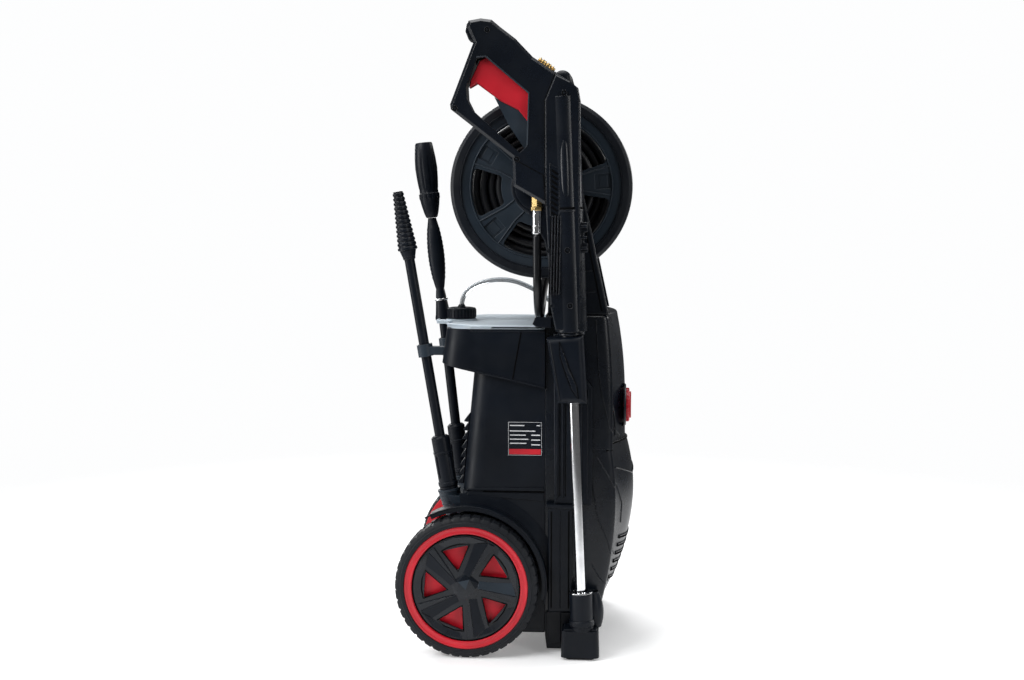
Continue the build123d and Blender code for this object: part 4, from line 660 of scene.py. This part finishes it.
for side, label in SIDES:
    lathe(f"reel_hub_cap_{label}", ((0, 30), (2.5, 29), (3.5, 24), (3.0, 20)), (side * 83.6, REEL_Y, REEL_Z),
          (side, 0, 0), "reel", "grey_plastic", segments=56)
    lathe(f"reel_inner_ring_{label}", ((0, 104.5), (1.2, 103.8), (1.4, 102.5), (0.2, 101.6)),
          (side * 81.4, REEL_Y, REEL_Z), (side, 0, 0), "reel", "grey_plastic", segments=96)
    lathe(f"reel_rim_line_{label}", ((0, 118.2), (0.9, 117.6), (0.9, 116.6), (0, 116)),
          (side * 84.6, REEL_Y, REEL_Z), (side, 0, 0), "reel", "black_plastic", segments=96)
    for spoke in range(5):
        angle = radians(31 + 72 * spoke)
        along = (cos(angle), sin(angle))
        for edge in (-1, 1):
            edge_line = [(side * 81.2, *spoke_point(along, reach, edge * half))
                         for reach, half in ((42, 11), (60, 12), (100, 21))]
            bead(f"reel_spoke_edge_{label}_{spoke}_{edge + 1}", edge_line, 1.3, "reel", "grey_plastic")
        pad = [spoke_point(along, reach, half) for reach, half in ((84, 8.5), (84, -8.5), (97, -9.5),
                                                                   (97, 9.5))]
        plate(f"reel_spoke_step_{label}_{spoke}", pad, side * 76.4, side * 2.6, "reel", "grey_plastic",
              bevel=1.0)
    lathe(f"arm_boss_face_{label}", ((0, 36), (1.6, 35.4), (2.4, 33), (2.2, 22), (1.2, 19)),
          (side * 115.6, REEL_Y, REEL_Z), (side, 0, 0), "machine", "black_plastic", segments=64)
    for screw in range(3):
        angle = radians(30 + 120 * screw)
        y, z = REEL_Y + 28 * cos(angle), REEL_Z + 28 * sin(angle)
        lathe(f"arm_screw_{label}_{screw}", ((0, 3.6), (1.6, 3.4), (2.4, 2.4), (2.5, 0.0)),
              (-117.6 if side < 0 else 116.2, y, z), (side, 0, 0), "machine", "chrome", segments=24)
    for number, line in enumerate(ARM_LINES):
        bead(f"arm_edge_{label}_{number}", [(side * 116.2, *p) for p in line], 1.0, "machine",
             "black_plastic", GROOVE_SHADE)
    for rib in range(3):
        z = 520 + rib * 30
        bead(f"arm_rib_{label}_{rib}", ((side * 116.4, -60, z), (side * 116.4, -120 + rib * 5, z + 6)), 1.2,
             "machine", "black_plastic")

for ring in range(7):
    taper = ring * 0.32
    lathe(f"crank_grip_ring_{ring}", ((0, 13.2 - taper), (1.3, 14.0 - taper), (2.6, 13.2 - taper)),
          (134 + ring * 5, 4.5, 752.21), (1, 0, 0), "winder_knob", "grey_plastic", segments=40)

# ---- Wheels ----
AXLE_Y = 63.0
AXLE_Z = 103.5
TREAD_BLOCKS = 44


def tread(angle, along):
    """Radius factor of the tyre: gaps between tread blocks, staggered from one shoulder to the other."""
    share = (angle / (2 * pi) * TREAD_BLOCKS + (0.5 if along > 23 else 0.0)) % 1.0
    on_tread = 4.4 < along < 41.6
    return 0.984 if on_tread and share < 0.24 else 1.0


TYRE_PROFILE = (
    (0.3, 89.6), (0.0, 91.0), (0.2, 94.6), (1.6, 95.2), (2.4, 98.6), (4.6, 101.4), (5.0, 102.4), (9.0, 103.3),
    (20.5, 103.5), (21.0, 101.2), (25.0, 101.2), (25.5, 103.5), (37.0, 103.3), (41.0, 102.4), (41.4, 101.4),
    (43.6, 98.6), (44.4, 95.2), (45.8, 94.6), (46.0, 91.0), (45.7, 89.6),
)


def wheel_point(radius, angle):
    """(Y, Z) at a radius and an angle in degrees about the axle, from rearward towards up."""
    return (AXLE_Y + radius * cos(radians(angle)), AXLE_Z + radius * sin(radians(angle)))


def slope(name, inner, outer, x_low, x_high, body, slot, material=None):
    """A band that slopes up from the (Y, Z) points of inner to those of outer, with a cliff outside."""
    count = len(inner)
    vertices = [(x_low, *p) for p in inner] + [(x_high, *p) for p in outer] + [(x_low, *p) for p in outer]
    faces = []
    for i in range(count - 1):
        faces.append((i, i + 1, count + i + 1, count + i))
        faces.append((count + i, count + i + 1, 2 * count + i + 1, 2 * count + i))
    for i in (0, count - 1):
        faces.append((i, count + i, 2 * count + i))
    return add_piece(name, vertices, faces, body, slot, material, sharp=25)


HUB_GAPS = 5
GAP_TURN = 72
RIM_RINGS = (
    ("rim_ring_lip", 166.0, 1, "red_plastic", None,
     ((0, 89.4), (0.9, 88.6), (1.1, 86.8), (0.5, 85.6), (0.5, 81.4), (1.0, 80.2), (0.6, 78.9), (-1.5, 78.5))),
    ("cover_rim_groove", 164.9, 1, "cover_plastic", GROOVE_SHADE, ((0, 77.4), (0.4, 77.4), (0.4, 75.9), (0, 75.9))),
    ("rim_inner_ring", 122.1, -1, "red_plastic", None, ((0, 99.4), (0.5, 98.8), (0.6, 86.0), (0, 85.4))),
)
WINDOW_EDGE = ((63.6, 0), (63.9, 12), (64.2, 25), (63.6, 38), (26.0, 8), (63.6, 0))


def wheel_line(points, turn):
    """(Y, Z) of points given as (radius, angle), all turned about the axle by turn degrees."""
    return [wheel_point(radius, turn + angle) for radius, angle in points]


for side, label in ((-1, "left"), (1, "right")):
    body = f"wheel_{label}"
    tyre = lathe(f"tyre_tread_{label}", TYRE_PROFILE, (side * 168, AXLE_Y, AXLE_Z), (-side, 0, 0), body,
                 "tyre_rubber", segments=352, sharp=38, ripple=tread)
    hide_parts(f"tyre_{label}")
    for ring_name, x, facing, slot, material, profile in RIM_RINGS:
        lathe(f"{ring_name}_{label}", profile, (side * x, AXLE_Y, AXLE_Z), (side * facing, 0, 0), body, slot,
              material, segments=128)
    cover_x = side * 165.0
    low_x = cover_x + side * 0.2
    for gap in range(HUB_GAPS):
        centre = 40 + GAP_TURN * gap
        slope(f"cover_blade_{label}_{gap}", wheel_line(((22, -32), (34, -19), (48, -14), (66, -11)), centre),
              wheel_line(((17, -4), (34, 1), (52, 3), (73, 4)), centre), low_x, cover_x + side * 2.5, body,
              "grey_plastic" if gap == 2 else "black_plastic")
        slope(f"cover_tail_{label}_{gap}", wheel_line(((66, -11), (65.5, -22), (65.5, -36), (66, -50)),
                                                      centre), wheel_line(((74, 2), (75, -18), (75.2, -35),
                                                                           (74.6, -54)), centre), low_x,
              cover_x + side * 1.8, body, "cover_plastic")
        band = wheel_line(((17, -3), (52, 3.5), (73.5, 4.5), (74, 12), (48, 10), (25, 4)), centre)
        plate(f"cover_band_{label}_{gap}", band, cover_x - side * 0.5, side * 3.1, body, "cover_plastic",
              bevel=0.5)
        window = wheel_line(WINDOW_EDGE, 57 + GAP_TURN * gap)
        bead(f"cover_window_edge_{label}_{gap}", [(cover_x + side * 0.1, *p) for p in window], 0.9, body,
             "cover_plastic", GROOVE_SHADE)
    apex = (cover_x + side * 3.4, AXLE_Y, AXLE_Z - 2)
    ring = [(cover_x + side * 0.4, *wheel_point(23, 22 + GAP_TURN * corner)) for corner in range(HUB_GAPS)]
    middle = [(cover_x + side * 2.6, *wheel_point(14, 40 + GAP_TURN * corner)) for corner in range(HUB_GAPS)]
    facets = []
    for corner in range(HUB_GAPS):
        ahead = (corner + 1) % HUB_GAPS
        facets += [(corner, ahead, 5 + corner), (ahead, 5 + ahead, 5 + corner), (5 + corner, 5 + ahead, 10)]
    hub = add_piece(f"cover_hub_{label}", ring + middle + [apex], facets, body, "cover_plastic", sharp=5)
    hub.data.materials.append(MATERIALS["grey_plastic"])
    hub.data.polygons[2 if side < 0 else 5].material_index = 1

# ---- Housings, columns, arches and base on both sides ----
SEAM_Z = 235.0
ARCH_STEPS = 25
for side, label in SIDES:
    wall = side * 120.0
    bead(f"seam_shadow_{label}", ((wall, -47, SEAM_Z), (wall, 42, SEAM_Z)), 1.1, "machine", "black_plastic",
         GROOVE_SHADE)
    plate(f"seam_lip_{label}", ((-46, 236.5), (-46, 242), (50, 240.5), (64, 239), (68, 236.5)), wall,
          side * 2.2, "machine", "black_plastic", bevel=1.0)
    plate(f"lower_shoulder_{label}", ((-46, 222), (-46, 233.5), (64, 233.5), (66, 229)), wall, side * 1.4,
          "machine", "black_plastic", bevel=0.7)
    arch = []
    for step in range(ARCH_STEPS):
        angle = radians(58 + step * 5.6)
        arch.append((side * 149.6, AXLE_Y + 114.4 * cos(angle), AXLE_Z + 114.4 * sin(angle)))
    bead(f"arch_lip_{label}", arch, 1.3, "machine", "black_plastic")
    arch_skin = []
    for reach, stand in ((114.5, 3.2), (132, 0.2)):
        for step in range(ARCH_STEPS):
            angle = radians(84 + step * 4.3)
            arch_skin.append((side * (120.4 + stand), AXLE_Y + reach * cos(angle),
                              max(62, min(232, AXLE_Z + reach * sin(angle)))))
    skin_faces = [(i, i + 1, ARCH_STEPS + 1 + i, ARCH_STEPS + i) for i in range(ARCH_STEPS - 1)]
    add_piece(f"arch_flare_{label}", arch_skin, skin_faces, "machine", "black_plastic")
    bead(f"carrier_joint_{label}", ((side * 126.0, -14, 471), (side * 126.0, -1, 398)), 0.9, "machine",
         "black_plastic", GROOVE_SHADE)
    bead(f"carrier_hem_{label}", ((side * 126, -47, 388.5), (side * 126, 64, 414)), 1.1, "machine",
         "black_plastic")
    bead(f"carrier_crown_{label}", ((side * 126, -47, 469), (side * 126, 60, 469)), 1.0, "machine",
         "black_plastic")
    column = side * 129.0
    for number, y in enumerate((-66, -74, -91, -101, -110)):
        top = 455 if y > -100 else 390
        bead(f"column_rib_{label}_{number}", ((column, y, 228), (column, y, 384), (column, y + 1.5, top)),
             1.1, "machine", "black_plastic")
    lower = side * 134.0
    for number, y in enumerate((-58, -70.5, -83)):
        bead(f"column_foot_rib_{label}_{number}", ((lower, y, 68), (lower, y, 210)), 1.0, "machine",
             "black_plastic", None if number == 1 else GROOVE_SHADE)
    plate(f"column_ledge_{label}", ((-50, 215), (-50, 220), (-92, 219), (-90, 213)), side * 120, side * 15.5,
          "machine", "black_plastic", bevel=1.2)
    bulge = []
    for step in range(9):
        share = step / 8
        bulge.append((52 * share, 6 + 8.5 * sin(pi * min(0.94, 0.12 + share * 0.82)) ** 0.8))
    lathe(f"foot_bulge_{label}", bulge, (side * 133, -121, 42), (0, 0.06, 1), "machine", "black_plastic",
          segments=40)
    plate(f"foot_cap_{label}", ((-76, 40.5), (-126, 40.5), (-124, 45), (-78, 45)), side * 128, side * 33,
          "machine", "black_plastic", bevel=1.6)
    plate(f"base_side_{label}", ((-52, 12), (-72, 12), (-72, 60), (-50, 60)), side * 120, side * 4, "machine",
          "black_plastic", bevel=1.2)

for name, z, slot, profile in (
        ("socket_washer", 95, "chrome", ((0, 12.2), (1.2, 16.8), (2.8, 16.6), (3.6, 11.0))),
        ("socket_band", 48, "black_plastic", ((0, 17.0), (2, 18.2), (8, 18.2), (10, 16.6)))):
    lathe(name, profile, (GUN_X, lance_y(z), z), LANCE_AXIS, "machine", slot, segments=48)

# Holster cup: a leaf-shaped hollow and a rear edge.
LEAF = ((-70, 459), (-76, 444), (-85, 420), (-95, 396), (-97, 378), (-88, 390), (-79, 412), (-71, 438))
plate("holster_leaf", LEAF, -172.0, -1.4, "machine", "cover_plastic", bevel=0.6, shrink=3.0)
bead("holster_leaf_edge", [(-173.1, *p) for p in LEAF + LEAF[:1]], 0.5, "machine", "black_plastic", GROOVE_SHADE)
bead("holster_rear_edge", ((-173, -55, 458), (-172.5, -63, 415), (-172.3, -70, 374)), 0.9, "machine",
     "black_plastic")

# Blank rating plate: a black field, a pale frame and a red band.
plate("rating_plate", ((6, 338), (-44, 338), (-44, 288), (6, 288)), -120, -0.6, "machine", "cover_plastic",
      bevel=0.2)
PALE = moulded("plate_print", (0.62, 0.63, 0.65), 0.4, edge_wear_and_highlight=1.0)
bead("rating_frame", [(-120.6, *p) for p in ((5, 337), (-43, 337), (-43, 289), (5, 289), (5, 337))], 0.35,
     "machine", "cover_plastic", PALE)
plate("rating_band", ((4, 298), (-42, 298), (-42, 290), (4, 290)), -120.5, -0.4, "machine", "red_plastic",
      bevel=0.1)
RATING_BARS = ((3, -18, 333), (3, -34, 325), (3, -20, 319), (3, -24, 313), (3, -21, 307),
               (-28, -41, 319), (-28, -41, 312), (-28, -41, 305), (-36, -41, 333))
for row, (start, end, z) in enumerate(RATING_BARS):
    plate(f"rating_bar_{row}", ((start, z), (end, z), (end, z - 1.5), (start, z - 1.5)), -120.5, -0.3,
          "machine", "cover_plastic", PALE, bevel=0.0)

# ---- Front cover and skirt ----
def draped(node, line, direction, place, steps, lift):
    """Points of a line laid onto a CAD node, and lifted off it; points that miss it are left out.

    line holds pairs, which place turns into points that lie clear of the node; direction leads to the node.
    """
    found = []
    for (a0, b0), (a1, b1) in zip(line, line[1:]):
        for step in range(steps):
            share = step / steps
            spot = touch(node, place(a0 + (a1 - a0) * share, b0 + (b1 - b0) * share), direction)
            if spot is not None:
                found.append(spot - Vector(direction) * lift)
    return found


def side_line(node, line, side):
    """A line in (Y, Z) laid onto a CAD node from one side."""
    return draped(node, line, (-side, 0, 0), lambda y, z: (side * 240.0, y, z), 8, 0.4)


def front_line(node, line, lift=0.4):
    """A line in (X, Z) laid onto a CAD node from the front."""
    return draped(node, line, (0, 1, 0), lambda x, z: (x, -300, z), 10, lift)


COVER_LINES = (
    ("front_cover", ((-121, 486), (-124, 420), (-129, 380), (-141, 330), (-158, 300)), 0.9),
    ("front_skirt", ((-122, 290), (-138, 262), (-152, 236), (-160, 205), (-158, 170)), 1.0),
    ("front_skirt", ((-116, 250), (-124, 200), (-140, 160), (-150, 120)), 0.9),
    ("front_skirt", ((-116, 130), (-126, 112), (-140, 96), (-139, 76)), 0.8),
)
for number, (node, line, radius) in enumerate(COVER_LINES):
    for side, label in SIDES:
        points = side_line(node, line, side)
        if len(points) > 3:
            bead(f"cover_crease_{number}_{label}", points, radius, "machine", "cover_plastic")


seam_line = front_line("front_skirt", ((-118, 296.5), (-60, 296.5), (0, 296.5), (60, 296.5), (118, 296.5)),
                       0.1)
bead("cover_seam", seam_line, 1.2, "machine", "cover_plastic", GROOVE_SHADE)
FRONT_CREASES = (
    ("front_cover", ((-100, 482), (-78, 400), (-44, 338), (-40, 303)), "left"),
    ("front_cover", ((100, 482), (78, 400), (44, 338), (40, 303)), "right"),
    ("front_skirt", ((-104, 280), (-70, 200), (-48, 120), (-40, 66)), "low_left"),
    ("front_skirt", ((104, 280), (70, 200), (48, 120), (40, 66)), "low_right"),
    ("front_skirt", ((-60, 262), (0, 244), (60, 262)), "chin"),
)
for node, line, label in FRONT_CREASES:
    bead(f"front_crease_{label}", front_line(node, line), 1.3, "machine", "cover_plastic")
for row in range(6):
    z = 150 - row * 13
    half = 34 - row * 2
    points = front_line("front_skirt", ((-half, z), (0, z - 3), (half, z)), 0.0)
    bead(f"front_vent_{row}", points, 2.0, "machine", "cover_plastic", GROOVE_SHADE)
    lip = front_line("front_skirt", ((-half - 2, z + 3), (0, z), (half + 2, z + 3)), 0.5)
    bead(f"front_vent_lip_{row}", lip, 1.3, "machine", "cover_plastic")
lathe("switch_bezel", ((0, 33), (2.0, 32.4), (3.6, 30.4), (3.4, 28.6), (1.4, 26.4)), (0, -161.9, 348),
      (0, -1, 0), "machine", "black_plastic", segments=72)
lathe("switch_knob_edge", ((0, 24.6), (1.0, 25.3), (4.2, 25.3), (5.4, 24.2)), (0, -165, 348), (0, -1, 0),
      "switch", "red_plastic", segments=72, ripple=lambda angle, along: 1 + 0.018 * sin(24 * angle))
POINTER = ((-1.2, 352), (1.2, 352), (1.2, 366), (-1.2, 366))
add_piece("switch_pointer", [(x, -173.3, z) for x, z in POINTER], [(0, 1, 2, 3)], "switch", "red_plastic",
          PALE)

# ---- Tank, cap and connections ----
CAP_RIBS = 28
CAP_X, CAP_Y = -5, 85
for step in range(CAP_RIBS):
    angle = 2 * pi * step / CAP_RIBS
    y, x = CAP_Y + 21.5 * sin(angle), CAP_X + 21.5 * cos(angle)
    bead(f"cap_rib_{step}", ((x, y, 481), (x, y, 492.5)), 0.9, "cap", "black_plastic", sides=6)
for name, z, body, slot, segments, profile in (("cap_top_ring", 494.9, "cap", "black_plastic", 56,
                                                ((0, 17.5), (0.9, 17.0), (0.9, 14.6), (0.1, 14.0))),
                                               ("cap_tube_collar", 494.5, "machine", "black_plastic", 32,
                                                ((0, 6.5), (2.4, 6.0), (5.0, 4.6), (6.0, 3.7))),
                                               ("tank_neck_ring", 476, "machine", "tank_plastic", 56,
                                                ((0, 22.6), (1.0, 23.4), (2.2, 22.6)))):
    lathe(name, profile, (CAP_X, CAP_Y, z), (0, 0, 1), body, slot, segments=segments)
bead("tank_rim_left", ((-125.2, -44, 476.4), (-125.2, 58, 476.4), (-90, 96.5, 476.4), (-36, 97, 476.4),
                       (-24, 120.5, 476.4), (6, 120.5, 476.4)), 1.5, "machine", "tank_plastic")
plate("tank_side_slot", ((30, 473.4), (-46, 473.4), (-46, 476.8), (26, 476.8)), -124.8, -1.0, "machine",
      "black_plastic", GROOVE_SHADE, bevel=0.4)
INLET_Y, INLET_Z = 0.99549, 0.09481
for turn in range(9):
    along = 5 + turn * 1.8
    lathe(f"inlet_thread_{turn}", ((0, 12.6), (0.7, 13.6), (1.4, 12.6)),
          (74, 79.333 + INLET_Y * along, 158 + INLET_Z * along), (0, INLET_Y, INLET_Z), "machine", "brass",
          segments=48)

# ---- Spare lances ----
SPARE_FOOT_Z = 232.0


def head_rings(low_radius, high_radius, length, count, start):
    """Profile of a tapered head with raised rings."""
    profile = [(start, 0.0), (start, low_radius - 1)]
    pitch = length / count
    for ring in range(count):
        base = start + ring * pitch
        radius = low_radius + (high_radius - low_radius) * ring / (count - 1)
        profile += [(base + 0.3, radius - 0.6), (base + 0.9, radius + 0.7),
                    (base + pitch * 0.6, radius + 0.5), (base + pitch * 0.75, radius - 0.5)]
    profile += [(start + length, high_radius - 0.4), (start + length + 0.5, 4.4), (start + length - 8, 4.0),
                (start + length - 8, 0.0)]
    return profile


TURBO_LEAN = 0.168
TURBO_FOOT = (-85, 96, SPARE_FOOT_Z)
TURBO_AXIS = (0, TURBO_LEAN, 1)
turbo_head_start = (584 - SPARE_FOOT_Z) * hypot(1, TURBO_LEAN)
turbo = lathe("turbo_head_rings", head_rings(13.8, 7.6, 86, 13, turbo_head_start), TURBO_FOOT, TURBO_AXIS,
              "turbo", "black_plastic", segments=56, sharp=24)
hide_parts("turbo_head")
lathe("turbo_neck", ((-14, 8.2), (-12, 9.2), (-3, 9.6), (0, 12.0), (1, 12.4)),
      (-85, 96 + 352 * TURBO_LEAN, 584), TURBO_AXIS, "turbo", "black_plastic", segments=48)
lathe("turbo_stop_bump", ((-4, 7.5), (-2, 9.6), (4, 9.8), (7, 7.6)), (-85, 96 + 203 * TURBO_LEAN, 435),
      TURBO_AXIS, "turbo", "black_plastic", segments=40)

VARIO_LEAN = 0.1114
VARIO_FOOT = (30, 90, SPARE_FOOT_Z)
VARIO_AXIS = (0, VARIO_LEAN, 1)


def vario_at(z):
    """Distance along the vario lance from its foot to height z."""
    return (z - SPARE_FOOT_Z) * hypot(1, VARIO_LEAN)


grip_low, sheath_high, grip_high = vario_at(474), vario_at(518), vario_at(631)
grip_profile = [(grip_low, 0.0), (grip_low, 11.6), (grip_low + 1.2, 12.5), (grip_low + 4, 12.5),
                (grip_low + 10, 11.2), (sheath_high, 7.0), (sheath_high + 4, 6.3)]
for step in range(33):
    share = step / 32
    along = sheath_high + 4 + (grip_high - sheath_high - 4) * share
    body_radius = 6.3 + 6.1 * sin(pi * min(1.0, share * 1.02)) ** 0.8
    rib = 0.55 if step % 2 and 0.12 < share < 0.88 else 0.0
    grip_profile.append((along, max(5.6, body_radius + rib)))
grip_profile += [(grip_high, 6.5), (grip_high, 0.0)]
vario_grip = lathe("vario_grip_ribs", grip_profile, VARIO_FOOT, VARIO_AXIS, "vario", "black_plastic",
                   segments=48, sharp=22)
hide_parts("vario_grip")
lathe("vario_chrome_edge", ((0, 9.4), (0.8, 10.0), (2.6, 10.0), (3.2, 9.4)),
      (30, 90 + (504 - 232) * VARIO_LEAN, 504), VARIO_AXIS, "vario", "chrome", segments=40)


def head_slots(angle, along):
    """Radius factor of the nozzle head: finger slots round its grip zone and its ring."""
    local = along - vario_head_start
    if 29 < local < 38:
        return 1 - 0.05 * (cos(14 * angle) > 0.2)
    if 44 < local < 92:
        return 1 - 0.045 * max(0.0, cos(9 * angle)) ** 2
    return 1.0


vario_head_start = grip_high + 0.5
HEAD_STEPS = ((0, 0.0), (0, 8), (2, 9.2), (8, 11.2), (20, 13.8), (29, 15.2), (30, 15.9), (37, 15.9),
              (38, 14.5), (44, 14.3), (46, 14.9), (60, 16.2), (76, 17.0), (90, 16.2), (94, 15.8), (104, 14.6),
              (113, 13.5), (115, 12.4), (115, 9.4), (100, 9.0), (96, 4.0), (96, 0.0), )
vario_head = lathe("vario_head_slotted", [(vario_head_start + a, r) for a, r in HEAD_STEPS], VARIO_FOOT,
                   VARIO_AXIS, "vario_nozzle", "black_plastic", segments=126, sharp=30, ripple=head_slots)
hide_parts("vario_head")

for name, foot, axis in (("turbo", TURBO_FOOT, TURBO_AXIS), ("vario", VARIO_FOOT, VARIO_AXIS)):
    start, ahead = Vector(foot), Vector(axis)
    lathe(f"{name}_bayonet_collar", ((0, 13.6), (1.5, 14.6), (6, 14.6), (7.5, 13.6)), start + ahead * 4, axis,
          name, "black_plastic", segments=48)
    lathe(f"{name}_bayonet_band", ((0, 13.6), (1, 14.2), (3, 14.2), (4, 13.6)), start + ahead * 52, axis,
          name, "black_plastic", segments=48)
    for lug in range(4):
        angle = radians(45 + 90 * lug)
        edge = Vector((foot[0] + 13.9 * cos(angle), foot[1] + 13.9 * sin(angle), foot[2]))
        bead(f"{name}_bayonet_flute_{lug}", (edge + ahead * 16, edge + ahead * 48), 1.4, name,
             "black_plastic")
    for groove in range(5):
        lathe(f"{name}_cup_ring_{groove}", ((0, 16.2 - groove), (0.8, 17.4 - groove), (1.8, 16.2 - groove)),
              start + ahead * (-3 - groove * 6.5), axis, "machine", "grey_plastic", segments=48)

# ---- Handle ----
for ring in range(16):
    x = -75 + ring * 10
    lathe(f"handle_grip_ring_{ring}", ((0, 13.3), (1.6, 14.4), (5.4, 14.4), (7.0, 13.3)), (x - 3.5, -71, 826),
          (1, 0, 0), "handle", "foot_rubber", segments=40)
for side, label in SIDES:
    lathe(f"handle_collar_{label}", ((0, 9.6), (1, 12.2), (5, 12.6), (7, 11.8), (8, 9.6)),
          (side * 103, -71, 722), (0, 0, 1), "machine", "black_plastic", segments=40)
